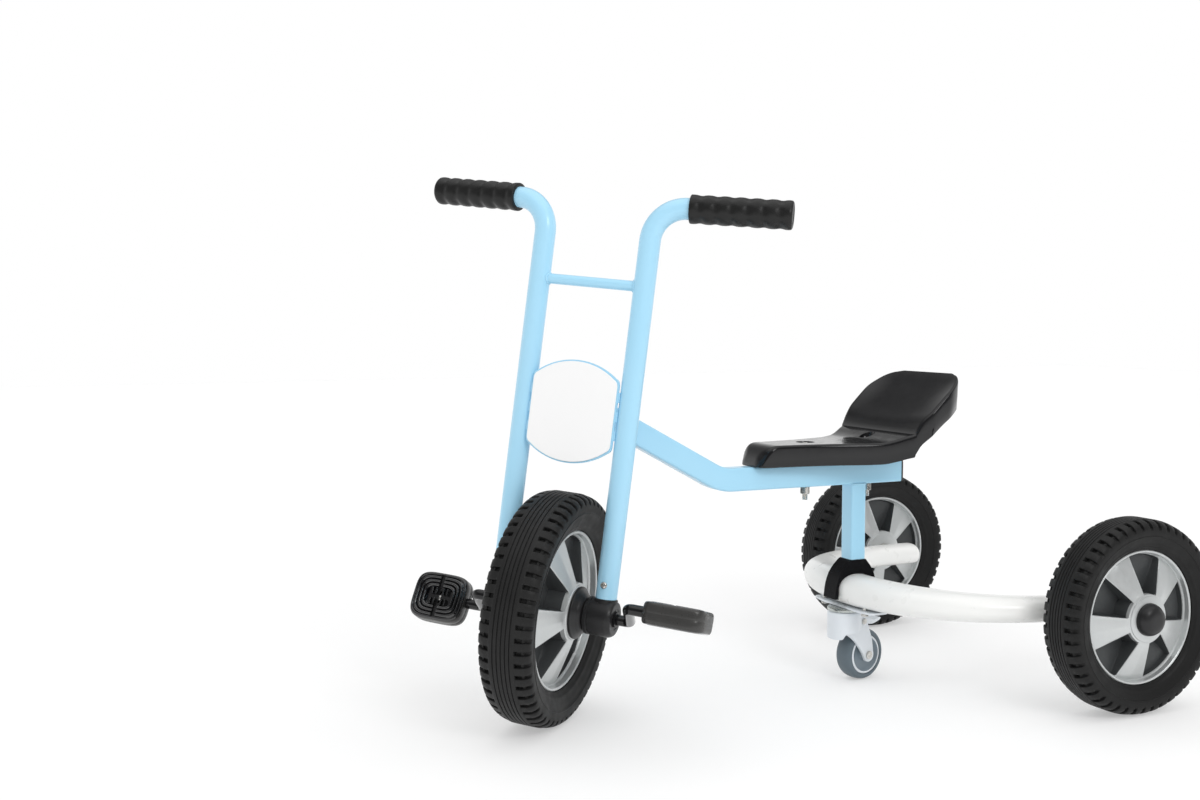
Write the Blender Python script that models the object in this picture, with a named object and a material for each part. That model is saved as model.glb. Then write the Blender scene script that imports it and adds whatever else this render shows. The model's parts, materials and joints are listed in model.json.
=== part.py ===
# A child's pedal tricycle: twin-tube fork, direct-drive front wheel, low frame, moulded seat,
# moulded rear beam on two fixed wheels, and a hooded swivel caster under the beam.
# Metres. +X is the rider's left, +Y runs backwards, +Z is up. The floor is z = 0.
import math

import bmesh
import bpy
from mathutils import Matrix, Vector

MM = 0.001
FULL_TURN = 2 * math.pi

# Clearances
SEAT_GAP = 0.3 * MM
RUN_GAP = 1.0 * MM
PIN_GAP = 0.25 * MM

# Stance
WHEELBASE = 733.6 * MM
REAR_TRACK = 581 * MM
ORIGIN_BEHIND_FRONT_AXLE = 370.1 * MM

# Fork and handlebar
RAKE = math.radians(7.7)
STEER_ANGLE = math.radians(44.2)
STEER_AXIS_BEHIND_TUBES = 22 * MM
FORK_SPACING = 147 * MM
FORK_TUBE_DIAMETER = 28 * MM
FORK_TUBE_WALL = 1.6 * MM
FORK_BEND_RADIUS = 45 * MM
FORK_SIDES = 12
HANDLEBAR_HEIGHT = 532 * MM
HANDLEBAR_SWEEP = math.radians(9.0)
HANDLEBAR_RISE = math.radians(1.8)
HANDLEBAR_REACH = 245 * MM
CROSSBAR_HEIGHT = 427 * MM
CROSSBAR_DIAMETER = 13.5 * MM
CROSSBAR_WELD = 3 * MM

# Grips
GRIP_LENGTH = 131 * MM
GRIP_DIAMETER = 37.5 * MM
GRIP_GROOVE_DEPTH = 2.2 * MM
GRIP_WAVES = 6
GRIP_END_WALL = 4 * MM
GRIP_SIDES = 12

# Front plate, panel and steering head
PLATE_CENTRE_HEIGHT = 257.5 * MM
PLATE_WIDTH = 120.6 * MM
PLATE_SIDE_HEIGHT = 88 * MM
PLATE_ARCH_RISE = 23 * MM
PLATE_CORNER = 7 * MM
PLATE_THICKNESS = 3 * MM
PLATE_AHEAD_OF_TUBES = 8.8 * MM
PLATE_TABS = 3
PLATE_TAB_HEIGHT = 13 * MM
PANEL_THICKNESS = 2.4 * MM
PANEL_BORDER = 1.6 * MM
LUG_THICKNESS = 5 * MM
LUG_END_RADIUS = 16 * MM
LUG_ROOT_WIDTH = 48 * MM
HEAD_TUBE_LENGTH = 79 * MM
HEAD_TUBE_CENTRE_HEIGHT = 261 * MM
HEAD_TUBE_DIAMETER = 34 * MM
HEAD_TUBE_WALL = 5.7 * MM
HEAD_BUSH_FLANGE = 2.5 * MM
HEAD_BUSH_DEPTH = 14 * MM
STEER_BOLT_DIAMETER = 12 * MM
STEER_BOLT_HEAD = 19 * MM
STEER_BOLT_HEAD_HEIGHT = 6 * MM
STEER_NUT_HEIGHT = 9 * MM

# Front wheel
FRONT_TYRE_RADIUS = 152.5 * MM
FRONT_TYRE_WIDTH = 70.2 * MM
FRONT_RIM_RADIUS = 104.7 * MM
FRONT_LUG_COUNT = 40
LUG_DEPTH = 4.5 * MM
TREAD_FLAT_SHARE = 0.48
RIM_WIDTH = 44.8 * MM
RIM_LIP_WIDTH = 7 * MM
RIM_DISH_DEPTH = 11 * MM
RIM_HUB_DIAMETER = 76 * MM
RIM_HUB_WIDTH = 72.6 * MM
RIM_WEB = 8 * MM
RIM_SPOKES = 5
WINDOW_SHARE = 0.5
RIM_PHASE = math.radians(7.5)
FLANGE_DIAMETER = 68 * MM
FLANGE_LENGTH = 14 * MM
FLANGE_SIDES = 16

# Bearing blocks
BLOCK_DIAMETER = 49 * MM
BLOCK_LENGTH = 38 * MM
BLOCK_EDGE = 5 * MM
BLOCK_COLLAR_DIAMETER = 31 * MM
BLOCK_SPIGOT_LENGTH = 37 * MM
AXLE_BUSH_WALL = 3 * MM
FORK_SCREW_HEIGHT = 18 * MM
FORK_SCREW_HEAD = 9 * MM
FORK_SCREW_SHANK = 4.2 * MM

# Cranks and pedals
CRANK_ROD_DIAMETER = 14 * MM
CRANK_BEND_RADIUS = 9 * MM
CRANK_ELBOW_OUT = 109.7 * MM
CRANK_SPLAY = 16.4 * MM
CRANK_FORWARD = 64.5 * MM
CRANK_UP = 26.7 * MM
PEDAL_INNER_FACE = 147 * MM
PEDAL_WIDTH = 84 * MM
PEDAL_LENGTH = 68 * MM
PEDAL_THICKNESS = 29 * MM
PEDAL_CORNER = 20 * MM
PEDAL_RIBS = 3
PEDAL_RIB_STEP = 1.8 * MM
LEFT_PEDAL_TILT = math.radians(-5.5)
RIGHT_PEDAL_TILT = math.radians(69)

# Frame
MAIN_TUBE_WIDTH = 26 * MM
MAIN_TUBE_HEIGHT = 32.5 * MM
MAIN_TUBE_TOP = 322.3 * MM
MAIN_TUBE_SLOPE = math.radians(28.6)
MAIN_TUBE_BEND_BACK = 263.6 * MM
MAIN_TUBE_BEND_RADIUS = 70 * MM
MAIN_TUBE_BEHIND_LEG = 62 * MM
TUBE_CORNER = 3.5 * MM
END_CAP_THICKNESS = 4 * MM
LEG_FRONT = 476.5 * MM
LEG_WIDTH = 27 * MM
LEG_DEPTH = 25 * MM

# Seat
SEAT_NOSE = 311 * MM
SEAT_HEIGHT = 30.5 * MM
SEAT_NOSE_WIDTH = 68 * MM
SEAT_NOSE_CORNER = 20 * MM
SEAT_REAR_WIDTH = 200 * MM
SEAT_PAN_LENGTH = 219 * MM
SEAT_PAN_LIFT = 13 * MM
SEAT_LENGTH = 307 * MM
SEAT_BACK_RISE = 96 * MM
SEAT_BACK_CURL = 9 * MM
SEAT_STEP = 3 * MM
SEAT_EDGE = 4 * MM
SEAT_BOLT_BACK = 405 * MM
SEAT_BOLT_SPACING = 106 * MM
SEAT_BOLT_DIAMETER = 8 * MM
SEAT_FRONT_RECESS_DIAMETER = 27 * MM
SEAT_REAR_RECESS_DIAMETER = 20 * MM
SEAT_RECESS_DEPTH = 5 * MM
SEAT_NUT_FLATS = 13 * MM
SEAT_NUT_HEIGHT = 8 * MM
SEAT_BOLT_TAIL = 7 * MM

# Saddle bracket and rear beam
BRACKET_WIDTH = 30 * MM
BRACKET_TOP = 180 * MM
BRACKET_CROWN = 20 * MM
BRACKET_FOOT = 55.5 * MM
BRACKET_WALL = 6 * MM
BRACKET_EASE = 1.5 * MM
BEAM_AHEAD_OF_LEG = 4 * MM
BEAM_HEIGHT = 46 * MM
BEAM_END_HEIGHT = 34 * MM
BEAM_DEPTH = 58 * MM
BEAM_END_DEPTH = 48 * MM
BEAM_TO_WHEEL_CENTRE = 68.5 * MM
BEAM_FULLNESS = 2.2
BEAM_SQUARENESS = 2.2
BEAM_TAIL = 34 * MM

# Rear wheels
REAR_TYRE_RADIUS = 132 * MM
REAR_TYRE_WIDTH = 61 * MM
REAR_RIM_RADIUS = 90.6 * MM
REAR_LUG_COUNT = 25
REAR_RIM_SCALE = 0.866
REAR_AXLE_DIAMETER = 14 * MM
REAR_SPACER_DIAMETER = 26 * MM
HUB_CAP_DIAMETER = 44 * MM
HUB_CAP_LENGTH = 15 * MM

# Caster
CASTER_AHEAD_OF_BEAM = 9.5 * MM
CASTER_TURN = math.radians(11.4)
CASTER_PLATE_WIDTH = 144 * MM
CASTER_PLATE_DEPTH = 40 * MM
CASTER_PLATE_CHAMFER = 14 * MM
CASTER_PLATE_THICKNESS = 3 * MM
CASTER_BOLT_SPREAD = 100 * MM
CASTER_BOLT_PITCH = 20 * MM
CASTER_BOLT_DIAMETER = 6 * MM
CASTER_BOLT_HEAD = 10 * MM
CASTER_BOLT_HEAD_HEIGHT = 4.5 * MM
CASTER_BOLT_LENGTH = 20 * MM
CASTER_RACE_DIAMETER = 50 * MM
CASTER_RACE_HEIGHT = 5 * MM
CASTER_HOOD_DIAMETER = 50 * MM
CASTER_HOOD_WALL = 3 * MM
CASTER_HOOD_FRONT = 32.5 * MM
CASTER_HOOD_REAR = 22.5 * MM
CASTER_TRAIL = 31.2 * MM
CASTER_WHEEL_RADIUS = 37.5 * MM
CASTER_WHEEL_WIDTH = 27 * MM
CASTER_TREAD = 8.5 * MM
CASTER_CHEEK = 4 * MM
CASTER_AXLE_DIAMETER = 8 * MM
KINGPIN_DIAMETER = 10 * MM
LEVER_WIDTH = 26 * MM
LEVER_REACH = 43 * MM
BRAKE_PIN_DIAMETER = 5 * MM
BRAKE_PIN_BACK = 20 * MM
BRAKE_PIN_DROP = 16 * MM

# Places worked out from the sizes above
TUBE_RADIUS = FORK_TUBE_DIAMETER / 2
TUBE_OFFSET = FORK_SPACING / 2
ROD_RADIUS = CRANK_ROD_DIAMETER / 2
FLANGE_START = RIM_HUB_WIDTH / 2 + SEAT_GAP
BLOCK_START = FLANGE_START + FLANGE_LENGTH + RUN_GAP
BLOCK_END = BLOCK_START + BLOCK_LENGTH
BLOCK_TOP = BLOCK_DIAMETER / 2 + SEAT_GAP
HEAD_BOTTOM = HEAD_TUBE_CENTRE_HEIGHT - HEAD_TUBE_LENGTH / 2
HEAD_TOP = HEAD_TUBE_CENTRE_HEIGHT + HEAD_TUBE_LENGTH / 2
UPPER_LUG_BOTTOM = HEAD_TOP + HEAD_BUSH_FLANGE + 2 * SEAT_GAP
LOWER_LUG_TOP = HEAD_BOTTOM - HEAD_BUSH_FLANGE - 2 * SEAT_GAP
MAIN_TUBE_MIDDLE = MAIN_TUBE_TOP - MAIN_TUBE_HEIGHT / 2
MAIN_TUBE_BOTTOM = MAIN_TUBE_TOP - MAIN_TUBE_HEIGHT
LEG_MIDDLE = LEG_FRONT + LEG_DEPTH / 2
MAIN_TUBE_END = LEG_FRONT + LEG_DEPTH + MAIN_TUBE_BEHIND_LEG
SEAT_BOTTOM = MAIN_TUBE_TOP + SEAT_GAP
SEAT_TOP = SEAT_BOTTOM + SEAT_HEIGHT
BEAM_TOP = BRACKET_TOP - BRACKET_CROWN - SEAT_GAP
BEAM_MIDDLE = BEAM_TOP - BEAM_HEIGHT / 2
BEAM_BOTTOM = BEAM_TOP - BEAM_HEIGHT
BEAM_FRONT = LEG_MIDDLE - BEAM_AHEAD_OF_LEG
BEAM_REACH = WHEELBASE - BEAM_FRONT
CASTER_BACK = BEAM_FRONT - CASTER_AHEAD_OF_BEAM
BEAM_HALF_SPAN = REAR_TRACK / 2 - BEAM_TO_WHEEL_CENTRE
CASTER_PLATE_TOP = BEAM_BOTTOM - SEAT_GAP
RACE_TOP = CASTER_PLATE_TOP - CASTER_PLATE_THICKNESS - SEAT_GAP
HOOD_TOP = RACE_TOP - CASTER_RACE_HEIGHT - SEAT_GAP
BRAKE_PIN_HEIGHT = HOOD_TOP - BRAKE_PIN_DROP
CHEEK_START = CASTER_WHEEL_WIDTH / 2 + 1.5 * MM
CHEEK_END = CHEEK_START + CASTER_CHEEK
REAR_HUB_HALF = RIM_HUB_WIDTH * REAR_RIM_SCALE / 2


# Materials

def finish(name, colour, roughness, metallic=0.0):
    material = bpy.data.materials.new(name)
    material.use_nodes = True
    shader = material.node_tree.nodes["Principled BSDF"]
    shader.inputs["Base Color"].default_value = (*colour, 1.0)
    shader.inputs["Roughness"].default_value = roughness
    shader.inputs["Metallic"].default_value = metallic
    material.diffuse_color = (*colour, 1.0)
    return material


# Mesh helpers

def new_mesh(name, bm, smooth_angle=30):
    """Turn a bmesh into a mesh with outward faces, smooth where it is round."""
    bmesh.ops.remove_doubles(bm, verts=bm.verts, dist=1e-7)
    bmesh.ops.recalc_face_normals(bm, faces=bm.faces)
    mesh = bpy.data.meshes.new(name)
    bm.to_mesh(mesh)
    bm.free()
    mesh.shade_smooth()
    mesh.set_sharp_from_angle(angle=math.radians(smooth_angle))
    return mesh


def place(name, mesh, material, parent=None, location=(0, 0, 0), rotation=(0, 0, 0)):
    """Add a mesh as a named object with its own copy of the finish."""
    item = bpy.data.objects.new(name, mesh)
    own = material.copy()
    own.name = name + "_finish"
    mesh.materials.clear()
    mesh.materials.append(own)
    item.parent = parent
    item.location = location
    item.rotation_euler = rotation
    bpy.context.scene.collection.objects.link(item)
    return item


def axis_empty(name, parent=None, location=(0, 0, 0), rotation=(0, 0, 0)):
    empty = bpy.data.objects.new(name, None)
    empty.parent = parent
    empty.location = location
    empty.rotation_euler = rotation
    bpy.context.scene.collection.objects.link(empty)
    return empty


def boolean(item, tool_mesh, operation="DIFFERENCE", location=(0, 0, 0), rotation=(0, 0, 0)):
    """Cut or join a hidden tool that sits beside the item, in the item's own parent space."""
    tool = bpy.data.objects.new(item.name + "_tool", tool_mesh)
    tool.parent = item.parent
    tool.location = location
    tool.rotation_euler = rotation
    tool.hide_render = True
    tool.display_type = "WIRE"
    bpy.context.scene.collection.objects.link(tool)
    modifier = item.modifiers.new(operation.title(), "BOOLEAN")
    modifier.operation = operation
    modifier.object = tool
    modifier.solver = "EXACT"
    return tool


def turned(name, profile, segments, axis="Z"):
    """Spin an (along, radius) profile about an axis. Ends that lie on the axis close the solid."""
    bm = bmesh.new()
    points = [bm.verts.new((radius, 0, along)) for along, radius in profile]
    edges = [bm.edges.new(pair) for pair in zip(points, points[1:])]
    if profile[0][1] > 0:
        edges.append(bm.edges.new((points[-1], points[0])))
    bmesh.ops.spin(bm, geom=points + edges, cent=(0, 0, 0), axis=(0, 0, 1),
                   angle=FULL_TURN, steps=segments, use_merge=True)
    if axis == "X":
        bmesh.ops.rotate(bm, verts=bm.verts, matrix=Matrix.Rotation(math.pi / 2, 3, "Y"))
    if axis == "Y":
        bmesh.ops.rotate(bm, verts=bm.verts, matrix=Matrix.Rotation(-math.pi / 2, 3, "X"))
    return new_mesh(name, bm)


def rod(name, radius, start, end, segments=16, axis="Z"):
    return turned(name, [(start, 0), (start, radius), (end, radius), (end, 0)], segments, axis)


def clear_of(radius, segments):
    """The corner radius of a faceted hole whose flats just clear a round bar of this radius."""
    return radius / math.cos(math.pi / segments)


def drill(name, radius, start, end, segments=16, axis="Z"):
    return rod(name, clear_of(radius, segments), start, end, segments, axis)


def sleeve(name, outer, inner, start, end, segments=24, axis="Z"):
    bore = clear_of(inner, segments)
    profile = [(start, bore), (start, outer), (end, outer), (end, bore)]
    return turned(name, profile, segments, axis)


def lofted(name, rings, closed=False, smooth_angle=30):
    """Skin a row of equal rings of points and cap both ends, or join the last to the first."""
    bm = bmesh.new()
    rows = [[bm.verts.new(point) for point in ring] for ring in rings]
    pairs = list(zip(rows, rows[1:]))
    if closed:
        pairs.append((rows[-1], rows[0]))
    else:
        bm.faces.new(rows[0])
        bm.faces.new(rows[-1])
    for near, far in pairs:
        for index in range(len(near)):
            after = (index + 1) % len(near)
            bm.faces.new((near[index], near[after], far[after], far[index]))
    return new_mesh(name, bm, smooth_angle)


def extruded(name, outline, depth, direction=(0, 0, 1), smooth_angle=30):
    """Extrude a flat outline of 3-D points along a direction."""
    step = Vector(direction).normalized() * depth
    ring = [Vector(point) for point in outline]
    return lofted(name, [ring, [point + step for point in ring]], smooth_angle=smooth_angle)


def arc(centre, radius, start, end, steps):
    """Points on a flat arc, angles in degrees."""
    turn = [math.radians(start + (end - start) * step / steps) for step in range(steps + 1)]
    return [(centre[0] + radius * math.cos(a), centre[1] + radius * math.sin(a)) for a in turn]


def rounded_rectangle(width, height, corner, steps=2):
    right, top = width / 2 - corner, height / 2 - corner
    points = arc((right, top), corner, 0, 90, steps)
    points += arc((-right, top), corner, 90, 180, steps)
    points += arc((-right, -top), corner, 180, 270, steps)
    points += arc((right, -top), corner, 270, 360, steps)
    return points


def hexagon(name, flats, start, end, bore=0.0, axis="Z"):
    """A hexagon bar between two planes, with an optional round bore."""
    corner = flats / math.sqrt(3)
    bm = bmesh.new()
    outline = [bm.verts.new((corner * math.cos(math.radians(60 * k)),
                             corner * math.sin(math.radians(60 * k)), start)) for k in range(6)]
    if bore:
        hole = [bm.verts.new((bore * math.cos(math.radians(30 * k)),
                              bore * math.sin(math.radians(30 * k)), start)) for k in range(12)]
        faces = []
        for k in range(6):
            faces.append(bm.faces.new((outline[k], outline[(k + 1) % 6],
                                       hole[(2 * k + 2) % 12], hole[2 * k + 1], hole[2 * k])))
    else:
        faces = [bm.faces.new(outline)]
    grown = bmesh.ops.extrude_face_region(bm, geom=faces)
    moved = [part for part in grown["geom"] if isinstance(part, bmesh.types.BMVert)]
    bmesh.ops.translate(bm, verts=moved, vec=(0, 0, end - start))
    if axis == "X":
        bmesh.ops.rotate(bm, verts=bm.verts, matrix=Matrix.Rotation(math.pi / 2, 3, "Y"))
    return new_mesh(name, bm)


def bent_path(corners, radius, steps):
    """Round each inner corner of a path with an arc of the given radius."""
    corners = [Vector(corner) for corner in corners]
    path = [corners[0]]
    for before, corner, after in zip(corners, corners[1:], corners[2:]):
        back, ahead = (before - corner).normalized(), (after - corner).normalized()
        half = back.angle(ahead) / 2
        reach = radius / math.tan(half)
        centre = corner + (back + ahead).normalized() * radius / math.sin(half)
        first = (corner + back * reach - centre).normalized()
        last = (corner + ahead * reach - centre).normalized()
        for step in range(steps + 1):
            path.append(centre + first.slerp(last, step / steps) * radius)
    path.append(corners[-1])
    return path


def swept(name, path, radius, sides):
    """A round bar along a path, made as a bevelled curve with filled caps."""
    curve = bpy.data.curves.new(name, "CURVE")
    curve.dimensions = "3D"
    curve.bevel_depth = radius
    curve.bevel_resolution = (sides - 4) // 2
    curve.use_fill_caps = True
    spline = curve.splines.new("POLY")
    spline.points.add(len(path) - 1)
    for point, place_at in zip(spline.points, path):
        point.co = (*place_at, 1)
    carrier = bpy.data.objects.new(name, curve)
    bpy.context.scene.collection.objects.link(carrier)
    graph = bpy.context.evaluated_depsgraph_get()
    raw = bpy.data.meshes.new_from_object(carrier.evaluated_get(graph))
    bpy.data.objects.remove(carrier, do_unlink=True)
    bm = bmesh.new()
    bm.from_mesh(raw)
    return new_mesh(name, bm)


# Wheels

def tyre_mesh(name, radius, width, rim_radius, lugs):
    """A solid tyre: plain crown, one ring of cross lugs on each shoulder, smooth side walls."""
    half = width / 2
    bead = rim_radius + SEAT_GAP
    crown = half * TREAD_FLAT_SHARE
    lug = [(crown, radius), (half * 0.87, radius - 5 * MM), (half, radius - 12 * MM)]
    slot = [(crown, radius), (half * 0.80, radius - 5 * MM - LUG_DEPTH),
            (half - LUG_DEPTH / 2, radius - 14 * MM)]
    wall = [(half * 0.70, bead)]
    rings = []
    for step in range(2 * lugs):
        turn = FULL_TURN * step / (2 * lugs)
        side = (slot if step % 2 else lug) + wall
        section = side + [(-x, r) for x, r in reversed(side)]
        rings.append([(x, r * math.sin(turn), -r * math.cos(turn)) for x, r in section])
    return lofted(name, rings, closed=True, smooth_angle=40)


def rim_mesh(name, scale, rim_radius, bore, columns_per_spoke, plain_back=False):
    """A moulded wheel centre: a raised lip, a coned web and pockets between the spokes.

    A wheel seen from one side only has a plain coned back, without the pockets.
    """
    lip = rim_radius - RIM_LIP_WIDTH * scale
    dish = RIM_WIDTH * scale / 2 - RIM_DISH_DEPTH * scale
    hub = RIM_HUB_DIAMETER * scale / 2
    top = RIM_HUB_WIDTH * scale / 2
    face = RIM_WIDTH * scale / 2
    floor = RIM_WEB * scale / 2
    draft = 3 * MM
    inner, outer = hub + 4 * MM * scale, lip - 4 * MM * scale

    def cone(radius):
        return top - (top - dish) * (radius - hub) / (lip - hub)

    columns = RIM_SPOKES * columns_per_spoke
    bore = clear_of(bore, columns)
    window = round(columns_per_spoke * WINDOW_SHARE)
    rings = []
    for step in range(columns):
        turn = FULL_TURN * (step - (1 + window) / 2) / columns + RIM_PHASE
        in_window = 0 < step % columns_per_spoke <= window
        side = [(top, bore), (top, hub)]
        low_in, low_out = inner, outer - draft
        side.append((floor if in_window else cone(low_in), low_in))
        side.append((floor if in_window else cone(low_out), low_out))
        side += [(cone(outer), outer), (face, lip), (face, rim_radius)]
        back = side
        if plain_back:
            back = [(top, bore), (top, hub), (cone(outer), outer), (face, rim_radius)]
        section = side + [(-x, r) for x, r in reversed(back)]
        rings.append([(x, r * math.sin(turn), r * math.cos(turn)) for x, r in section])
    return lofted(name, rings, closed=True, smooth_angle=25)


def flange_mesh(name):
    """The black dished hub flange beside the front rim, bored for the crank rod."""
    bore = clear_of(ROD_RADIUS + PIN_GAP, FLANGE_SIDES)
    wide = FLANGE_DIAMETER / 2
    end = FLANGE_START + FLANGE_LENGTH
    profile = [(FLANGE_START, bore), (FLANGE_START, wide), (FLANGE_START + 3 * MM, wide),
               (FLANGE_START + 8 * MM, wide * 0.80), (end, BLOCK_DIAMETER / 2 - 4 * MM),
               (end, bore)]
    return turned(name, profile, FLANGE_SIDES, "X")


# Front end

def fork_tube_path(side):
    sweep, rise = math.tan(HANDLEBAR_SWEEP), math.tan(HANDLEBAR_RISE)
    reach = HANDLEBAR_REACH - TUBE_OFFSET
    elbow = Vector((side * TUBE_OFFSET, 0, HANDLEBAR_HEIGHT - FORK_BEND_RADIUS * rise))
    tip = elbow + Vector((side * reach, reach * sweep, reach * rise))
    return bent_path([(side * TUBE_OFFSET, 0, BLOCK_TOP), elbow, tip], FORK_BEND_RADIUS, 5)


def grip_mesh(name):
    """A ribbed sleeve closed at its outer end, along +Z from its mouth."""
    bore = clear_of(TUBE_RADIUS + SEAT_GAP, GRIP_SIDES)
    full = GRIP_DIAMETER / 2
    low = full - GRIP_GROOVE_DEPTH
    pitch = (GRIP_LENGTH - 8 * MM) / GRIP_WAVES
    profile = [(0, bore), (0, full - 1 * MM), (1.5 * MM, full)]
    for wave in range(GRIP_WAVES):
        start = 4 * MM + wave * pitch
        profile += [(start + 0.20 * pitch, low), (start + 0.62 * pitch, full)]
    profile += [(GRIP_LENGTH - 3 * MM, full), (GRIP_LENGTH, full - 3 * MM), (GRIP_LENGTH, 0)]
    bm = bmesh.new()
    hollow_end = GRIP_LENGTH - GRIP_END_WALL
    profile = [(hollow_end, 0), (hollow_end, bore)] + profile
    points = [bm.verts.new((radius, 0, along)) for along, radius in profile]
    edges = [bm.edges.new(pair) for pair in zip(points, points[1:])]
    bmesh.ops.spin(bm, geom=points + edges, cent=(0, 0, 0), axis=(0, 0, 1),
                   angle=FULL_TURN, steps=GRIP_SIDES, use_merge=True)
    return new_mesh(name, bm)


def plate_outline(half_width, side_height, rise, corner):
    """Upright sides and a shallow arch at the top and bottom, with rounded corners (x, z)."""
    half_side = side_height / 2
    radius = (half_width ** 2 + rise ** 2) / (2 * rise)
    spread = math.degrees(math.asin((half_width - corner) / radius))
    centre = half_side + rise - radius
    crown = arc((0, centre), radius, 90 - spread, 90 + spread, 7)
    left = crown[-1]
    bend = [(left[0] - corner * 0.72, left[1] - corner * 0.62), (-half_width, half_side - corner)]
    upper = crown + bend
    right = [(-x, z) for x, z in reversed(bend)]
    top = right + upper
    return top + [(-x, -z) for x, z in top]


def steering_plate_mesh(name):
    """The steel plate between the tubes, with weld tabs that reach them."""
    back = -PLATE_AHEAD_OF_TUBES
    half = PLATE_WIDTH / 2
    outline = plate_outline(half, PLATE_SIDE_HEIGHT, PLATE_ARCH_RISE, PLATE_CORNER)
    ring = [(x, back, PLATE_CENTRE_HEIGHT + z) for x, z in outline]
    return extruded(name, ring, PLATE_THICKNESS, (0, -1, 0))


def plate_tab_reach():
    """Half the distance between the tubes' surfaces, level with the back of the plate."""
    chord = math.sqrt(TUBE_RADIUS ** 2 - PLATE_AHEAD_OF_TUBES ** 2)
    return TUBE_OFFSET - chord - SEAT_GAP


def panel_mesh(name):
    back = -PLATE_AHEAD_OF_TUBES - PLATE_THICKNESS - SEAT_GAP
    half = PLATE_WIDTH / 2 - PANEL_BORDER
    outline = plate_outline(half, PLATE_SIDE_HEIGHT - PANEL_BORDER, PLATE_ARCH_RISE, PLATE_CORNER)
    ring = [(x, back, PLATE_CENTRE_HEIGHT + z) for x, z in outline]
    return extruded(name, ring, PANEL_THICKNESS, (0, -1, 0))


def lug_mesh(name, bottom):
    """A flat lug from the back of the plate to the steering bolt, round at its free end."""
    start = -PLATE_AHEAD_OF_TUBES + SEAT_GAP
    pivot = STEER_AXIS_BEHIND_TUBES
    nose = arc((0, pivot), LUG_END_RADIUS, -20, 200, 7)
    outline = nose + [(-LUG_ROOT_WIDTH / 2, start), (LUG_ROOT_WIDTH / 2, start)]
    return extruded(name, [(x, y, bottom) for x, y in outline], LUG_THICKNESS)


def bearing_block(name, side, parent, material):
    """A bearing block with a collar and a spigot for the fork tube, bored for its bush."""
    radius = BLOCK_DIAMETER / 2
    profile = [(BLOCK_START, 0), (BLOCK_START, radius), (BLOCK_END - BLOCK_EDGE, radius),
               (BLOCK_END, radius - BLOCK_EDGE * 0.7), (BLOCK_END, 0)]
    block = place(name, turned(name, [(side * along, r) for along, r in profile], 16, "X"),
                  material, parent)
    spigot_radius = TUBE_RADIUS - FORK_TUBE_WALL - SEAT_GAP
    collar = turned("collar", [(0, 0), (0, BLOCK_COLLAR_DIAMETER / 2),
                               (BLOCK_TOP - SEAT_GAP, BLOCK_COLLAR_DIAMETER / 2),
                               (BLOCK_TOP - SEAT_GAP, spigot_radius),
                               (BLOCK_TOP + BLOCK_SPIGOT_LENGTH, spigot_radius),
                               (BLOCK_TOP + BLOCK_SPIGOT_LENGTH, 0)], 12)
    boolean(block, collar, "UNION", (side * TUBE_OFFSET, 0, 0))
    bore = ROD_RADIUS + PIN_GAP + AXLE_BUSH_WALL + SEAT_GAP
    ends = sorted((side * (BLOCK_START - 2 * MM), side * (BLOCK_END + 2 * MM)))
    boolean(block, drill("bore", bore, ends[0], ends[1], 14, "X"))
    return block


def screw_hole(item, side, depth_start, depth_end):
    hole = drill("screw_hole", FORK_SCREW_SHANK / 2 + PIN_GAP, depth_start, depth_end, 10, "Y")
    boolean(item, hole, "DIFFERENCE", (side * TUBE_OFFSET, 0, BLOCK_TOP + FORK_SCREW_HEIGHT))


def fork_screw_mesh(name):
    """A pan-head screw that goes through the front of a fork tube into its spigot."""
    head, shank = FORK_SCREW_HEAD / 2, FORK_SCREW_SHANK / 2
    face = -TUBE_RADIUS - SEAT_GAP
    profile = [(face - 3 * MM, 0), (face - 3 * MM, head * 0.6), (face - 1.6 * MM, head),
               (face, head), (face, shank), (-2 * MM, shank), (-2 * MM, 0)]
    return turned(name, profile, 8, "Y")


def crank_path():
    elbow = CRANK_ELBOW_OUT
    out = elbow + CRANK_SPLAY
    tip = PEDAL_INNER_FACE + PEDAL_WIDTH - 6 * MM
    left = [(elbow, 0, 0), (out, -CRANK_FORWARD, CRANK_UP), (tip, -CRANK_FORWARD, CRANK_UP)]
    right = [(-x, -y, -z) for x, y, z in reversed(left)]
    return bent_path(right + left, CRANK_BEND_RADIUS, 2)


def pedal_mesh(name, side):
    """A moulded pedal block along its spindle, with ringed treads and a bore to its outer cap."""
    inner = PEDAL_INNER_FACE
    middle = side * (inner + PEDAL_WIDTH / 2)
    half = PEDAL_THICKNESS / 2

    def ring(shrink, height):
        outline = rounded_rectangle(PEDAL_WIDTH - 2 * shrink, PEDAL_LENGTH - 2 * shrink,
                                    max(PEDAL_CORNER - shrink, 3 * MM), 2)
        return [(middle + x, y, height) for x, y in outline]

    levels = [(2 * MM, half - 3 * MM), (0, 0), (2 * MM, 3 * MM - half)]
    upper = [ring(3.5 * MM, half)]
    lower = [ring(3.5 * MM, -half)]
    for rib in range(1, PEDAL_RIBS):
        inset = 3.5 * MM + rib * 6 * MM
        upper += [ring(inset, half - PEDAL_RIB_STEP * (rib % 2))]
        lower += [ring(inset, PEDAL_RIB_STEP * (rib % 2) - half)]
    body = [ring(shrink, height) for shrink, height in levels]
    return lofted(name, list(reversed(upper)) + body + lower)


# Frame

def bar_rings(path, outline, up=Vector((0, 0, 1))):
    """Rings of an (x, height) outline set square across a path in the YZ plane."""
    rings = []
    for index, point in enumerate(path):
        before = path[max(index - 1, 0)]
        after = path[min(index + 1, len(path) - 1)]
        ahead = (after - before).normalized()
        across = Vector((1, 0, 0))
        height = across.cross(ahead)
        rings.append([point + across * x + height * z for x, z in outline])
    return rings


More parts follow.
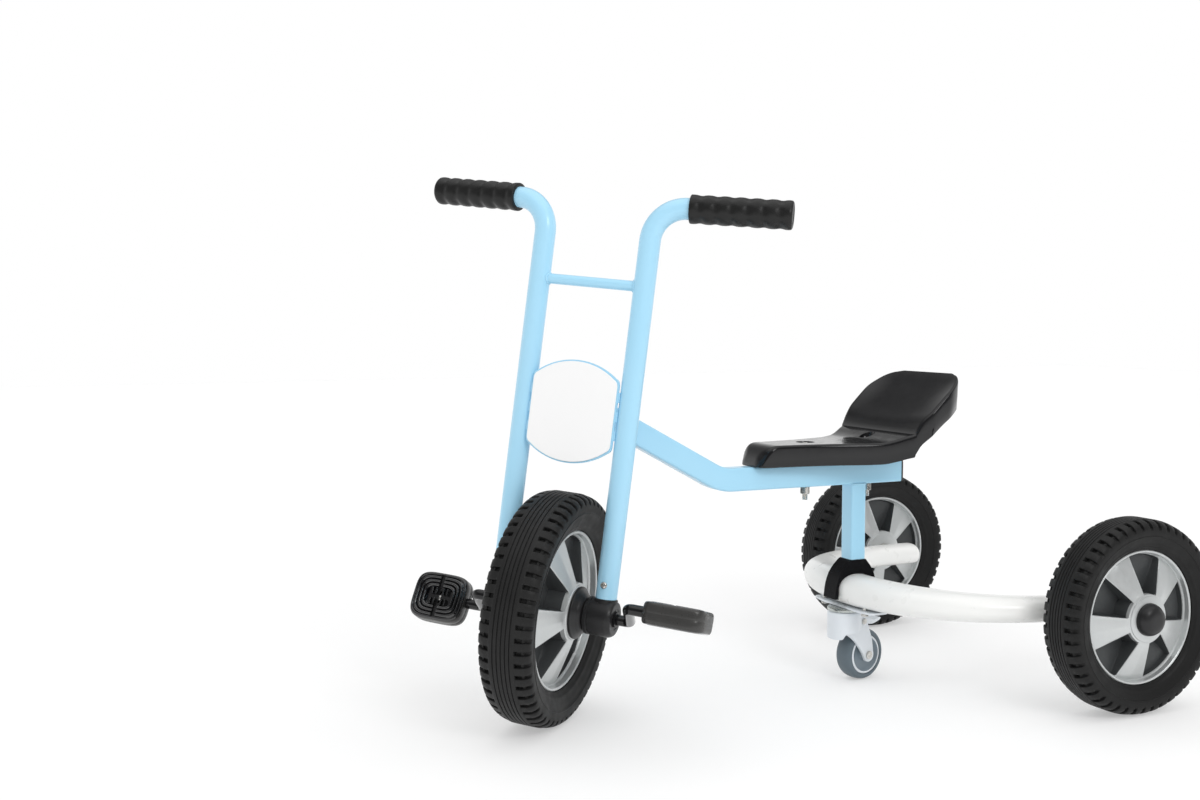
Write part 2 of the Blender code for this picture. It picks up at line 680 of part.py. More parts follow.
def main_tube_mesh(name):
    slope = math.tan(MAIN_TUBE_SLOPE)
    bend = Vector((0, MAIN_TUBE_BEND_BACK, MAIN_TUBE_MIDDLE))
    front_back = STEER_AXIS_BEHIND_TUBES + HEAD_TUBE_CENTRE_HEIGHT * math.sin(RAKE) + 4 * MM
    front = Vector((0, front_back, MAIN_TUBE_MIDDLE + (MAIN_TUBE_BEND_BACK - front_back) * slope))
    rear = Vector((0, MAIN_TUBE_END, MAIN_TUBE_MIDDLE))
    path = bent_path([front, bend, rear], MAIN_TUBE_BEND_RADIUS, 4)
    outline = rounded_rectangle(MAIN_TUBE_WIDTH, MAIN_TUBE_HEIGHT, TUBE_CORNER)
    return lofted(name, bar_rings(path, outline))


def end_cap_mesh(name):
    outline = rounded_rectangle(MAIN_TUBE_WIDTH, MAIN_TUBE_HEIGHT, TUBE_CORNER)
    start = MAIN_TUBE_END + SEAT_GAP
    rings = []
    for shrink, back in ((1, start), (1, start + END_CAP_THICKNESS * 0.6),
                         (0.82, start + END_CAP_THICKNESS)):
        rings.append([(x * shrink, back, MAIN_TUBE_MIDDLE + z * shrink) for x, z in outline])
    return lofted(name, rings)


def leg_mesh(name):
    outline = rounded_rectangle(LEG_WIDTH, LEG_DEPTH, TUBE_CORNER)
    ring = [(x, LEG_MIDDLE + y, BRACKET_TOP + SEAT_GAP) for x, y in outline]
    return extruded(name, ring, MAIN_TUBE_BOTTOM - BRACKET_TOP - 2 * SEAT_GAP)


def bracket_mesh(name):
    """The black saddle: an arch across the beam, thick at its crown and thin at its feet."""
    foot = BRACKET_TOP - BRACKET_FOOT
    spread = BEAM_DEPTH / 2 + BRACKET_EASE + BRACKET_WALL
    front, back = LEG_FRONT - BEAM_FRONT, LEG_FRONT + LEG_DEPTH - BEAM_FRONT
    slope = [(1.0, foot), (0.965, foot + 12 * MM), (0.86, BRACKET_TOP - 28 * MM),
             (0.68, BRACKET_TOP - 15.5 * MM), (0.46, BRACKET_TOP - 6.5 * MM)]
    outline = [(-spread * share, z) for share, z in slope] + [(front, BRACKET_TOP), (back, BRACKET_TOP)]
    outline += [(back + (spread - back) * (share - 0.46) / 0.54, z) for share, z in reversed(slope[:-1])]
    bed = beam_section(BEAM_DEPTH / 2 + BRACKET_EASE, BEAM_HEIGHT / 2 + SEAT_GAP, 28)
    arch = [(y, BEAM_MIDDLE + z) for y, z in bed[:15]]
    outline += [(arch[0][0], foot)] + arch + [(arch[-1][0], foot)]
    half = BRACKET_WIDTH / 2
    ring = [(-half, BEAM_FRONT + y, z) for y, z in outline]
    return extruded(name, ring, BRACKET_WIDTH, (1, 0, 0), 40)


def beam_height(x):
    """The beam's centre height, which eases down from the saddle to the rear axle."""
    return BEAM_MIDDLE + (REAR_TYRE_RADIUS - BEAM_MIDDLE) * (x / BEAM_HALF_SPAN) ** 2


def beam_path_point(turn):
    """The rear beam's centre line seen from above: a full-cornered horseshoe."""
    power = 2 / BEAM_FULLNESS
    cosine, sine = math.cos(turn), math.sin(turn)
    x = BEAM_HALF_SPAN * math.copysign(abs(cosine) ** power, cosine)
    y = WHEELBASE - BEAM_REACH * abs(sine) ** power
    return Vector((x, y, beam_height(x)))


def beam_section(half_depth, half_height, steps=12):
    """A rounded-box section, as (across, lift) from its outer side round to the start."""
    power = 2 / BEAM_SQUARENESS
    points = []
    for step in range(steps):
        turn = FULL_TURN * step / steps
        cosine, sine = math.cos(turn), math.sin(turn)
        points.append((half_depth * math.copysign(abs(cosine) ** power, cosine),
                       half_height * math.copysign(abs(sine) ** power, sine)))
    return points


def beam_mesh(name):
    """The moulded rear beam: an oval section carried along the horseshoe."""
    steps = 16
    path = [beam_path_point(math.pi * (0.06 + 0.88 * step / steps)) for step in range(steps + 1)]
    tail = [(BEAM_HALF_SPAN, WHEELBASE + BEAM_TAIL * share) for share in (1.0, 0.80, 0.0)]
    path = [Vector((x, y, REAR_TYRE_RADIUS)) for x, y in tail] + path
    path += [Vector((-x, y, REAR_TYRE_RADIUS)) for x, y in reversed(tail)]
    swell = [0.55, 0.95] + [1.0] * (len(path) - 4) + [0.95, 0.55]
    rings = []
    for index, point in enumerate(path):
        before, after = path[max(index - 1, 0)], path[min(index + 1, len(path) - 1)]
        ahead = (after - before).normalized()
        side = ahead.cross(Vector((0, 0, 1))).normalized()
        share = abs(point.x) / BEAM_HALF_SPAN
        depth = BEAM_DEPTH + (BEAM_END_DEPTH - BEAM_DEPTH) * share ** 2
        height = BEAM_HEIGHT + (BEAM_END_HEIGHT - BEAM_HEIGHT) * share ** 2
        ring = []
        for across, lift in beam_section(depth / 2 * swell[index], height / 2 * swell[index]):
            ring.append(point + side * across + Vector((0, 0, lift)))
        rings.append(ring)
    return lofted(name, rings, smooth_angle=60)


# Seat

def seat_stations():
    """(back, half width, lift, curl, front drop) from the nose to the top of the back."""
    slim, wide = SEAT_NOSE_WIDTH / 2, SEAT_REAR_WIDTH / 2
    corner = SEAT_NOSE_CORNER
    rows = []
    for share, drop in ((0.0, 12 * MM), (0.12, 6 * MM), (0.36, 2 * MM), (1.0, 0.0)):
        half = slim - corner + corner * math.sqrt(1 - (1 - share) ** 2)
        rows.append((SEAT_NOSE + corner * share, half, 0.0, 0.0, drop))
    for share, flare, lift in ((0.32, 0.07, 0.0), (0.53, 0.22, 0.0), (0.71, 0.43, 0.0),
                               (0.82, 0.61, 0.08), (0.895, 0.75, 0.38), (0.955, 0.88, 0.76),
                               (0.997, 0.96, 1.0), (1.0, 0.97, 1.0 + SEAT_STEP / SEAT_PAN_LIFT)):
        half = slim + (wide * 0.93 - slim) * flare
        rows.append((SEAT_NOSE + SEAT_PAN_LENGTH * share, half, SEAT_PAN_LIFT * lift, 0.0, 0.0))
    rise = SEAT_BACK_RISE - SEAT_PAN_LIFT
    back_length = SEAT_LENGTH - SEAT_PAN_LENGTH
    for share, width, lift in ((0.10, 0.94, 0.22), (0.28, 1.0, 0.42), (0.56, 1.0, 0.70), (0.78, 0.92, 0.87),
                               (0.92, 0.78, 0.965), (1.0, 0.60, 1.0)):
        curl = SEAT_BACK_CURL * math.sin(math.pi * share)
        rows.append((SEAT_NOSE + SEAT_PAN_LENGTH + back_length * share, wide * width,
                     SEAT_PAN_LIFT + rise * lift - curl, curl, 0.0))
    return rows


def seat_mesh(name):
    """The moulded seat: a narrow nose, a pan that flares to the rear and a low back."""
    rings = []
    for back, half, lift, curl, drop in seat_stations():
        top = SEAT_TOP + lift
        bottom = max(SEAT_BOTTOM, top + curl - SEAT_HEIGHT - lift * 0.15)
        upper = []
        for share in (-1, -0.94, -0.72, -0.36, 0, 0.36, 0.72, 0.94, 1):
            edge = SEAT_EDGE if abs(share) == 1 else (0.6 * MM if abs(share) == 0.94 else 0)
            height = top + curl * abs(share) ** 3 - edge - drop
            upper.append((share * half, back, height))
        lower = [(half * 0.97, back, bottom), (-half * 0.97, back, bottom)]
        rings.append(upper + lower)
    return lofted(name, rings, smooth_angle=35)


def bolt_mesh(name, head_profile, shank_radius, head_face, tail):
    """A turned bolt that stands on Z with its head up."""
    profile = [(head_face + along, radius) for along, radius in head_profile]
    profile += [(head_face, shank_radius), (tail, shank_radius), (tail, 0)]
    return turned(name, profile, 8)


# Caster

def caster_hood(parent, material):
    """The caster's yoke: a round cap with a cheek down each side to the axle behind it."""
    outer = CASTER_HOOD_DIAMETER / 2
    inner = outer - CASTER_HOOD_WALL
    low = HOOD_TOP - CASTER_HOOD_FRONT - 8 * MM
    bore = clear_of(KINGPIN_DIAMETER / 2 + PIN_GAP, 16)
    profile = [(HOOD_TOP, bore), (HOOD_TOP, outer - 1.5 * MM), (HOOD_TOP - 1.5 * MM, outer),
               (low, outer), (low, inner), (HOOD_TOP - 6 * MM, inner),
               (HOOD_TOP - 4 * MM, inner - 2 * MM), (HOOD_TOP - 4 * MM, bore)]
    hood = place("caster_hood", turned("caster_hood", profile, 16), material, parent)
    drop = (CASTER_HOOD_FRONT - CASTER_HOOD_REAR) / CASTER_HOOD_DIAMETER
    far = outer + 10 * MM
    wedge = [(-far, -far, HOOD_TOP - CASTER_HOOD_FRONT - drop * 10 * MM),
             (-far, far, HOOD_TOP - CASTER_HOOD_REAR + drop * 10 * MM),
             (-far, far, low - far), (-far, -far, low - far)]
    boolean(hood, extruded("slant", wedge, 2 * far, (1, 0, 0)))
    axle, trail = CASTER_WHEEL_RADIUS, CASTER_TRAIL
    boss = CASTER_AXLE_DIAMETER / 2 + 6 * MM
    reach = math.sqrt(outer ** 2 - CHEEK_END ** 2) - SEAT_GAP
    wall_low = HOOD_TOP - CASTER_HOOD_FRONT
    for side in (-1, 1):
        outline = arc((trail, axle), boss, 25, -135, 6)
        outline += [(trail * 0.38, axle + 8.5 * MM), (trail * 0.02, axle + 20.5 * MM), (-reach, wall_low),
                    (-reach, HOOD_TOP - 5 * MM), (reach, HOOD_TOP - 5 * MM),
                    (BRAKE_PIN_BACK + 7 * MM, BRAKE_PIN_HEIGHT), (trail + 7 * MM, axle + 22 * MM)]
        ring = [(side * CHEEK_START, y, z) for y, z in outline]
        boolean(hood, extruded("cheek", ring, CASTER_CHEEK, (side, 0, 0)), "UNION")
    slot_half = LEVER_WIDTH / 2 + RUN_GAP
    slot = [(-slot_half, 0.3 * outer, low), (slot_half, 0.3 * outer, low),
            (slot_half, 0.3 * outer, HOOD_TOP - 8 * MM), (-slot_half, 0.3 * outer, HOOD_TOP - 8 * MM)]
    boolean(hood, extruded("lever_slot", slot, outer, (0, 1, 0)))
    far_out = CHEEK_END + 5 * MM
    hole = drill("axle_hole", CASTER_AXLE_DIAMETER / 2 + PIN_GAP, -far_out, far_out, 12, "X")
    boolean(hood, hole, "DIFFERENCE", (0, trail, axle))
    hole = drill("pin_hole", BRAKE_PIN_DIAMETER / 2 + PIN_GAP, -far_out, far_out, 10, "X")
    boolean(hood, hole, "DIFFERENCE", (0, BRAKE_PIN_BACK, BRAKE_PIN_HEIGHT))
    return hood


def caster_tyre_mesh(name):
    half = CASTER_WHEEL_WIDTH / 2
    radius = CASTER_WHEEL_RADIUS
    inner = clear_of(radius - CASTER_TREAD, 18)
    crown = [(-half, inner), (-half, radius - 6 * MM), (-half * 0.7, radius - 1.5 * MM),
             (0, radius)]
    profile = crown + [(-x, r) for x, r in reversed(crown[:-1])]
    return turned(name, profile, 18, "X")


def caster_core_mesh(name):
    half = CASTER_WHEEL_WIDTH / 2
    outer = CASTER_WHEEL_RADIUS - CASTER_TREAD - SEAT_GAP
    bore = clear_of(CASTER_AXLE_DIAMETER / 2 + PIN_GAP, 14)
    side = [(half, bore), (half, bore + 4 * MM), (half - 5 * MM, bore + 6 * MM),
            (half - 5 * MM, outer - 6 * MM), (half - 1 * MM, outer)]
    profile = side + [(-x, r) for x, r in reversed(side)]
    return turned(name, profile, 14, "X")


def lever_mesh(name):
    """The brake pedal, about its pin: a thick root between the cheeks and a thin turned-up tongue."""
    half = LEVER_WIDTH / 2
    tip = LEVER_REACH
    side_view = [(-6 * MM, 4.5 * MM), (-6 * MM, -4.5 * MM), (tip * 0.25, -6.5 * MM), (tip * 0.60, -8.5 * MM),
                 (tip * 0.93, -4.5 * MM), (tip, -1.5 * MM), (tip * 0.95, 0), (tip * 0.63, -3 * MM),
                 (tip * 0.33, 3.5 * MM), (3 * MM, 5.5 * MM)]
    return extruded(name, [(-half, y, z) for y, z in side_view], LEVER_WIDTH, (1, 0, 0))


def riveted_pin(name, radius, head, half_length):
    """A cross pin along X with a flat head at both ends."""
    profile = [(-half_length - 2 * MM, 0), (-half_length - 2 * MM, head), (-half_length, head),
               (-half_length, radius), (half_length, radius), (half_length, head),
               (half_length + 2 * MM, head), (half_length + 2 * MM, 0)]
    return turned(name, profile, 8, "X")


# Build

for old in list(bpy.data.objects):
    bpy.data.objects.remove(old, do_unlink=True)

sky_blue = finish("sky_blue_powder_coat", (0.36, 0.68, 0.90), 0.35)
white_panel = finish("white_panel", (0.90, 0.91, 0.91), 0.35)
black_plastic = finish("black_plastic", (0.020, 0.021, 0.023), 0.32)
black_rubber = finish("black_rubber", (0.028, 0.028, 0.028), 0.62)
black_metal = finish("black_metal", (0.022, 0.022, 0.024), 0.22, 0.6)
silver_plastic = finish("silver_plastic", (0.55, 0.58, 0.60), 0.35, 0.5)
zinc = finish("zinc_plated_steel", (0.66, 0.66, 0.65), 0.30, 1.0)
bearing_plastic = finish("bearing_plastic", (0.80, 0.80, 0.76), 0.5)
off_white = finish("off_white_moulding", (0.86, 0.86, 0.83), 0.25)
caster_grey = finish("caster_grey", (0.60, 0.64, 0.67), 0.35)
tread_grey = finish("caster_tread", (0.22, 0.25, 0.28), 0.55)

ground = axis_empty("floor_centre", None, (0, -ORIGIN_BEHIND_FRONT_AXLE, 0))

# The steered wheel leans over, so the steering axis is lifted until the tyre just meets the floor.
lean = math.sin(STEER_ANGLE) * math.sin(RAKE)
crown_half = FRONT_TYRE_WIDTH / 2 * TREAD_FLAT_SHARE
axle_height = FRONT_TYRE_RADIUS * math.sqrt(1 - lean ** 2) + crown_half * lean
axis_drop = STEER_AXIS_BEHIND_TUBES * math.sin(RAKE) * math.cos(STEER_ANGLE)
steering_axis = axis_empty("steering_axis", ground,
                           (0, STEER_AXIS_BEHIND_TUBES * math.cos(RAKE), axle_height - axis_drop),
                           (-RAKE, 0, 0))
steered_fork = axis_empty("steered_fork", steering_axis, rotation=(0, 0, STEER_ANGLE))
front_axle = axis_empty("front_axle", steered_fork, (0, -STEER_AXIS_BEHIND_TUBES, 0))

# Fork
for side, word in ((1, "left"), (-1, "right")):
    tube = place("fork_tube_" + word,
                 swept("fork_tube", fork_tube_path(side), TUBE_RADIUS, FORK_SIDES),
                 sky_blue, front_axle)
    socket = drill("socket", TUBE_RADIUS - FORK_TUBE_WALL, BLOCK_TOP - 2 * MM,
                 BLOCK_TOP + BLOCK_SPIGOT_LENGTH + 3 * MM, 12)
    boolean(tube, socket, "DIFFERENCE", (side * TUBE_OFFSET, 0, 0))
    screw_hole(tube, side, -TUBE_RADIUS - 2 * MM, 0)
    block = bearing_block("bearing_block_" + word, side, front_axle, black_plastic)
    screw_hole(block, side, -TUBE_RADIUS - 2 * MM, -1 * MM)
    bush_inner = ROD_RADIUS + PIN_GAP
    ends = sorted((side * (BLOCK_START + SEAT_GAP), side * (BLOCK_END + 2 * MM)))
    place("axle_bush_" + word,
          sleeve("axle_bush", bush_inner + AXLE_BUSH_WALL, bush_inner, ends[0], ends[1], 14, "X"),
          bearing_plastic, front_axle)
    path = fork_tube_path(side)
    aim = (path[-1] - path[-2]).normalized()
    mouth = path[-1] + aim * (GRIP_END_WALL + SEAT_GAP - GRIP_LENGTH)
    grip = place("grip_" + word, grip_mesh("grip"), black_rubber, front_axle, mouth)
    grip.rotation_euler = aim.to_track_quat("Z", "Y").to_euler()

crossbar_half = TUBE_OFFSET - TUBE_RADIUS
bar_radius = CROSSBAR_DIAMETER / 2
weld_profile = [(-crossbar_half, 0), (-crossbar_half, bar_radius + CROSSBAR_WELD),
                (-crossbar_half + CROSSBAR_WELD * 1.4, bar_radius),
                (crossbar_half - CROSSBAR_WELD * 1.4, bar_radius),
                (crossbar_half, bar_radius + CROSSBAR_WELD), (crossbar_half, 0)]
crossbar = place("crossbar", turned("crossbar", weld_profile, 12, "X"), sky_blue, front_axle,
                 (0, 0, CROSSBAR_HEIGHT))
for side in (-1, 1):
    cope = drill("cope", TUBE_RADIUS + SEAT_GAP, CROSSBAR_HEIGHT - 30 * MM,
               CROSSBAR_HEIGHT + 30 * MM, 16)
    boolean(crossbar, cope, "DIFFERENCE", (side * TUBE_OFFSET, 0, 0))

steering_plate = place("steering_plate", steering_plate_mesh("steering_plate"), sky_blue, front_axle)
tab_pitch = (PLATE_SIDE_HEIGHT - 2 * PLATE_CORNER) / PLATE_TABS
for tab in range(PLATE_TABS):
    height = PLATE_CENTRE_HEIGHT + (tab - (PLATE_TABS - 1) / 2) * tab_pitch
    reach = plate_tab_reach()
    bar = [(-reach, -PLATE_AHEAD_OF_TUBES, height - PLATE_TAB_HEIGHT / 2),
           (reach, -PLATE_AHEAD_OF_TUBES, height - PLATE_TAB_HEIGHT / 2),
           (reach, -PLATE_AHEAD_OF_TUBES, height + PLATE_TAB_HEIGHT / 2),
           (-reach, -PLATE_AHEAD_OF_TUBES, height + PLATE_TAB_HEIGHT / 2)]
    boolean(steering_plate, extruded("tab", bar, PLATE_THICKNESS * 0.6, (0, -1, 0)), "UNION")
place("front_panel", panel_mesh("front_panel"), white_panel, front_axle)

bolt_radius = STEER_BOLT_DIAMETER / 2
for word, bottom in (("upper", UPPER_LUG_BOTTOM), ("lower", LOWER_LUG_TOP - LUG_THICKNESS)):
    lug = place("steering_lug_" + word, lug_mesh("lug", bottom), sky_blue, front_axle)
    eye = drill("eye", bolt_radius + PIN_GAP, bottom - 2 * MM, bottom + LUG_THICKNESS + 2 * MM)
    boolean(lug, eye, "DIFFERENCE", (0, STEER_AXIS_BEHIND_TUBES, 0))
upper_face = UPPER_LUG_BOTTOM + LUG_THICKNESS + SEAT_GAP
lower_face = LOWER_LUG_TOP - LUG_THICKNESS - SEAT_GAP
bolt_tail = lower_face - STEER_NUT_HEIGHT - 2 * MM
shank = rod("shank", bolt_radius, bolt_tail, upper_face + 1 * MM)
steering_bolt = place("steering_bolt", shank, zinc, steered_fork)
boolean(steering_bolt, hexagon("head", STEER_BOLT_HEAD, upper_face,
                               upper_face + STEER_BOLT_HEAD_HEIGHT), "UNION")
place("steering_nut", hexagon("nut", STEER_BOLT_HEAD, lower_face - STEER_NUT_HEIGHT, lower_face,
                              bolt_radius + PIN_GAP), zinc, steered_fork)
for side, word in ((1, "left"), (-1, "right")):
    place("fork_screw_" + word, fork_screw_mesh("fork_screw"), zinc, front_axle,
          (side * TUBE_OFFSET, 0, BLOCK_TOP + FORK_SCREW_HEIGHT))

# Steering head of the frame
head_radius = HEAD_TUBE_DIAMETER / 2
head_bore = head_radius - HEAD_TUBE_WALL
place("head_tube", sleeve("head_tube", head_radius, head_bore, HEAD_BOTTOM, HEAD_TOP, 16),
      sky_blue, steering_axis)
for word, seat, way in (("upper", HEAD_TOP, 1), ("lower", HEAD_BOTTOM, -1)):
    inner = clear_of(bolt_radius + PIN_GAP, 12)
    profile = [(seat - way * HEAD_BUSH_DEPTH, inner),
               (seat - way * HEAD_BUSH_DEPTH, head_bore - SEAT_GAP),
               (seat + way * SEAT_GAP, head_bore - SEAT_GAP),
               (seat + way * SEAT_GAP, head_radius),
               (seat + way * (SEAT_GAP + HEAD_BUSH_FLANGE), head_radius),
               (seat + way * (SEAT_GAP + HEAD_BUSH_FLANGE), inner)]
    place("head_bush_" + word, turned("head_bush", profile, 12), bearing_plastic, steering_axis)

# Front wheel, cranks and pedals
place("front_tyre", tyre_mesh("front_tyre", FRONT_TYRE_RADIUS, FRONT_TYRE_WIDTH,
                              FRONT_RIM_RADIUS, FRONT_LUG_COUNT), black_rubber, front_axle)
place("front_rim", rim_mesh("front_rim", 1.0, FRONT_RIM_RADIUS, ROD_RADIUS + PIN_GAP, 6),
      silver_plastic, front_axle)
left_flange = flange_mesh("hub_flange")
right_flange = left_flange.copy()
right_flange.transform(Matrix.Rotation(math.pi, 4, "Z"))
place("hub_flange_left", left_flange, black_plastic, front_axle)
place("hub_flange_right", right_flange, black_plastic, front_axle)
place("crank", swept("crank", crank_path(), ROD_RADIUS, 10), black_metal, front_axle)
pedal_bore = ROD_RADIUS + PIN_GAP
for side, word, tilt in ((1, "left", LEFT_PEDAL_TILT), (-1, "right", RIGHT_PEDAL_TILT)):
    spindle = axis_empty("pedal_spindle_" + word, front_axle,
                         (0, -side * CRANK_FORWARD, side * CRANK_UP), (tilt, 0, 0))
    pedal = place("pedal_" + word, pedal_mesh("pedal", side), black_plastic, spindle)
    bore_ends = sorted((side * (PEDAL_INNER_FACE - 5 * MM),
                        side * (PEDAL_INNER_FACE + PEDAL_WIDTH - 5 * MM)))
    boolean(pedal, drill("bore", pedal_bore, bore_ends[0], bore_ends[1], 12, "X"))

# Frame
main_tube = place("main_tube", main_tube_mesh("main_tube"), sky_blue, ground)
cope = drill("cope", head_radius + SEAT_GAP, HEAD_BOTTOM - 90 * MM, HEAD_TOP + 90 * MM, 36)
cope_tool = boolean(main_tube, cope)
cope_tool.parent = steering_axis
place("tube_end_cap", end_cap_mesh("tube_end_cap"), black_plastic, ground)
place("rear_leg", leg_mesh("rear_leg"), sky_blue, ground)

# Seat and its bolts
seat = place("seat", seat_mesh("seat"), black_plastic, ground)
bolt_r = SEAT_BOLT_DIAMETER / 2
head_profile = [(4 * MM, 0), (3 * MM, 5 * MM), (1 * MM, 8.5 * MM), (0, 8.5 * MM)]
nut_top = MAIN_TUBE_BOTTOM - SEAT_GAP
recess_floor = SEAT_TOP - SEAT_RECESS_DEPTH
for word, back, recess in (("front", SEAT_BOLT_BACK, SEAT_FRONT_RECESS_DIAMETER / 2),
                           ("rear", SEAT_BOLT_BACK + SEAT_BOLT_SPACING, SEAT_REAR_RECESS_DIAMETER / 2)):
    spot = (0, back, 0)
    boolean(seat, rod("recess", recess, recess_floor, SEAT_TOP + SEAT_PAN_LIFT + 10 * MM, 14),
            "DIFFERENCE", spot)
    hole = drill("hole", bolt_r + PIN_GAP, MAIN_TUBE_BOTTOM - 5 * MM, SEAT_TOP + 30 * MM, 8)
    boolean(seat, hole, "DIFFERENCE", spot)
    boolean(main_tube, hole.copy(), "DIFFERENCE", spot)
    place("seat_bolt_" + word, bolt_mesh("seat_bolt", head_profile, bolt_r, recess_floor + SEAT_GAP,
                                         nut_top - SEAT_NUT_HEIGHT - SEAT_BOLT_TAIL),
          zinc, ground, spot)
    place("seat_nut_" + word, hexagon("seat_nut", SEAT_NUT_FLATS, nut_top - SEAT_NUT_HEIGHT, nut_top,
                                      bolt_r + PIN_GAP), zinc, ground, spot)

# Saddle bracket and rear beam
bracket = place("saddle_bracket", bracket_mesh("saddle_bracket"), black_plastic, ground)
beam = place("rear_beam", beam_mesh("rear_beam"), off_white, ground)

# Rear wheels
axle_r = REAR_AXLE_DIAMETER / 2
hub_bore = axle_r + PIN_GAP
for side, word in ((1, "left"), (-1, "right")):
    hub = axis_empty("rear_axle_line_" + word, ground, (0, WHEELBASE, REAR_TYRE_RADIUS))
    wheel = axis_empty("rear_wheel_centre_" + word, hub, (side * REAR_TRACK / 2, 0, 0))
    place("rear_tyre_" + word, tyre_mesh("rear_tyre", REAR_TYRE_RADIUS, REAR_TYRE_WIDTH,
                                         REAR_RIM_RADIUS, REAR_LUG_COUNT), black_rubber, wheel)
    rim = rim_mesh("rear_rim", REAR_RIM_SCALE, REAR_RIM_RADIUS, hub_bore, 5, plain_back=True)
    if side < 0:
        rim.transform(Matrix.Rotation(math.pi, 4, "Z"))
    place("rear_rim_" + word, rim, silver_plastic, wheel)
    start = REAR_HUB_HALF + SEAT_GAP
    cap_r = HUB_CAP_DIAMETER / 2
    cap_profile = [(start, 0), (start, cap_r), (start + HUB_CAP_LENGTH * 0.5, cap_r * 0.92),
                   (start + HUB_CAP_LENGTH, cap_r * 0.6), (start + HUB_CAP_LENGTH, 0)]
    cap = place("hub_cap_" + word,
                turned("hub_cap", [(side * along, r) for along, r in cap_profile], 14, "X"),
                black_plastic, wheel)
    pocket_ends = sorted((side * (start - 2 * MM), side * (start + HUB_CAP_LENGTH - 4 * MM)))
    boolean(cap, drill("pocket", axle_r + 5 * MM, pocket_ends[0], pocket_ends[1], 8, "X"))
    inner_end = BEAM_HALF_SPAN - 10 * MM
    outer_end = REAR_TRACK / 2 + REAR_HUB_HALF + 6 * MM
    axle_ends = sorted((side * inner_end, side * outer_end))
    place("rear_axle_" + word, rod("rear_axle", axle_r, axle_ends[0], axle_ends[1], 16, "X"),
          zinc, hub)
    socket_ends = sorted((side * (inner_end - SEAT_GAP), side * (BEAM_HALF_SPAN + 60 * MM)))
    boolean(beam, drill("socket", axle_r + PIN_GAP, socket_ends[0], socket_ends[1], 12, "X"),
            "DIFFERENCE", (0, WHEELBASE, REAR_TYRE_RADIUS))
    beam_side = BEAM_HALF_SPAN + BEAM_END_DEPTH / 2
    spacer_ends = sorted((side * (beam_side + SEAT_GAP),
                          side * (REAR_TRACK / 2 - REAR_HUB_HALF - RUN_GAP)))
    place("axle_spacer_" + word, sleeve("axle_spacer", REAR_SPACER_DIAMETER / 2, hub_bore,
                                        spacer_ends[0], spacer_ends[1], 12, "X"), zinc, hub)

# Caster
caster_swivel = axis_empty("caster_swivel", ground, (0, CASTER_BACK, 0), (0, 0, CASTER_TURN))
plate_x, plate_y = CASTER_PLATE_WIDTH / 2, CASTER_PLATE_DEPTH / 2
cut_x, cut_y = plate_x - 2 * CASTER_PLATE_CHAMFER, plate_y - CASTER_PLATE_CHAMFER
plate_ring = [(x, BEAM_FRONT + y, CASTER_PLATE_TOP - CASTER_PLATE_THICKNESS) for x, y in
              ((cut_x, -plate_y), (plate_x, -cut_y), (plate_x, cut_y), (cut_x, plate_y),
               (-cut_x, plate_y), (-plate_x, cut_y), (-plate_x, -cut_y), (-cut_x, -plate_y))]
caster_plate = place("caster_plate", extruded("caster_plate", plate_ring, CASTER_PLATE_THICKNESS),
                     caster_grey, ground)
plate_face = CASTER_PLATE_TOP - CASTER_PLATE_THICKNESS - SEAT_GAP
bolt_top = plate_face + CASTER_BOLT_LENGTH
for word, x, y in (("front_left", 1, -1), ("front_right", -1, -1),
                   ("rear_left", 1, 1), ("rear_right", -1, 1)):
    spot = (x * CASTER_BOLT_SPREAD / 2, BEAM_FRONT + y * CASTER_BOLT_PITCH / 2, 0)
    radius = CASTER_BOLT_DIAMETER / 2
    hole = drill("bolt_hole", radius + PIN_GAP, plate_face - 2 * MM, bolt_top + 1 * MM, 8)
    boolean(caster_plate, hole, "DIFFERENCE", spot)
    boolean(beam, hole.copy(), "DIFFERENCE", spot)
    bolt = place("caster_bolt_" + word, hexagon("caster_bolt", CASTER_BOLT_HEAD,
                                                plate_face - CASTER_BOLT_HEAD_HEIGHT, plate_face),
                 zinc, ground, spot)
    boolean(bolt, rod("shank", radius, plate_face - 1 * MM, bolt_top, 8), "UNION", spot)
race_bore = KINGPIN_DIAMETER / 2 + PIN_GAP
place("caster_race", sleeve("caster_race", CASTER_RACE_DIAMETER / 2, race_bore,
                            RACE_TOP - CASTER_RACE_HEIGHT, RACE_TOP, 16), zinc, caster_swivel)
hood = caster_hood(caster_swivel, caster_grey)
pin_r = KINGPIN_DIAMETER / 2
pin_low = HOOD_TOP - 4 * MM - SEAT_GAP
place("caster_kingpin", turned("caster_kingpin", [(pin_low - 4 * MM, 0), (pin_low - 4 * MM, pin_r + 3 * MM),
                                                  (pin_low, pin_r + 3 * MM), (pin_low, pin_r),
                                                  (RACE_TOP, pin_r), (RACE_TOP, 0)], 12),
      zinc, caster_swivel)
caster_axle_line = axis_empty("caster_axle_line", caster_swivel,
                              (0, CASTER_TRAIL, CASTER_WHEEL_RADIUS))
place("caster_tyre", caster_tyre_mesh("caster_tyre"), tread_grey, caster_axle_line)
place("caster_core", caster_core_mesh("caster_core"), caster_grey, caster_axle_line)
place("caster_axle", riveted_pin("caster_axle", CASTER_AXLE_DIAMETER / 2, 6 * MM, CHEEK_END + SEAT_GAP),
      zinc, caster_axle_line)
lever_hinge = axis_empty("brake_hinge", caster_swivel, (0, BRAKE_PIN_BACK, BRAKE_PIN_HEIGHT))
lever = place("brake_lever", lever_mesh("brake_lever"), caster_grey, lever_hinge)
lever_bore = drill("bore", BRAKE_PIN_DIAMETER / 2 + PIN_GAP, -LEVER_WIDTH, LEVER_WIDTH, 10, "X")
boolean(lever, lever_bore)
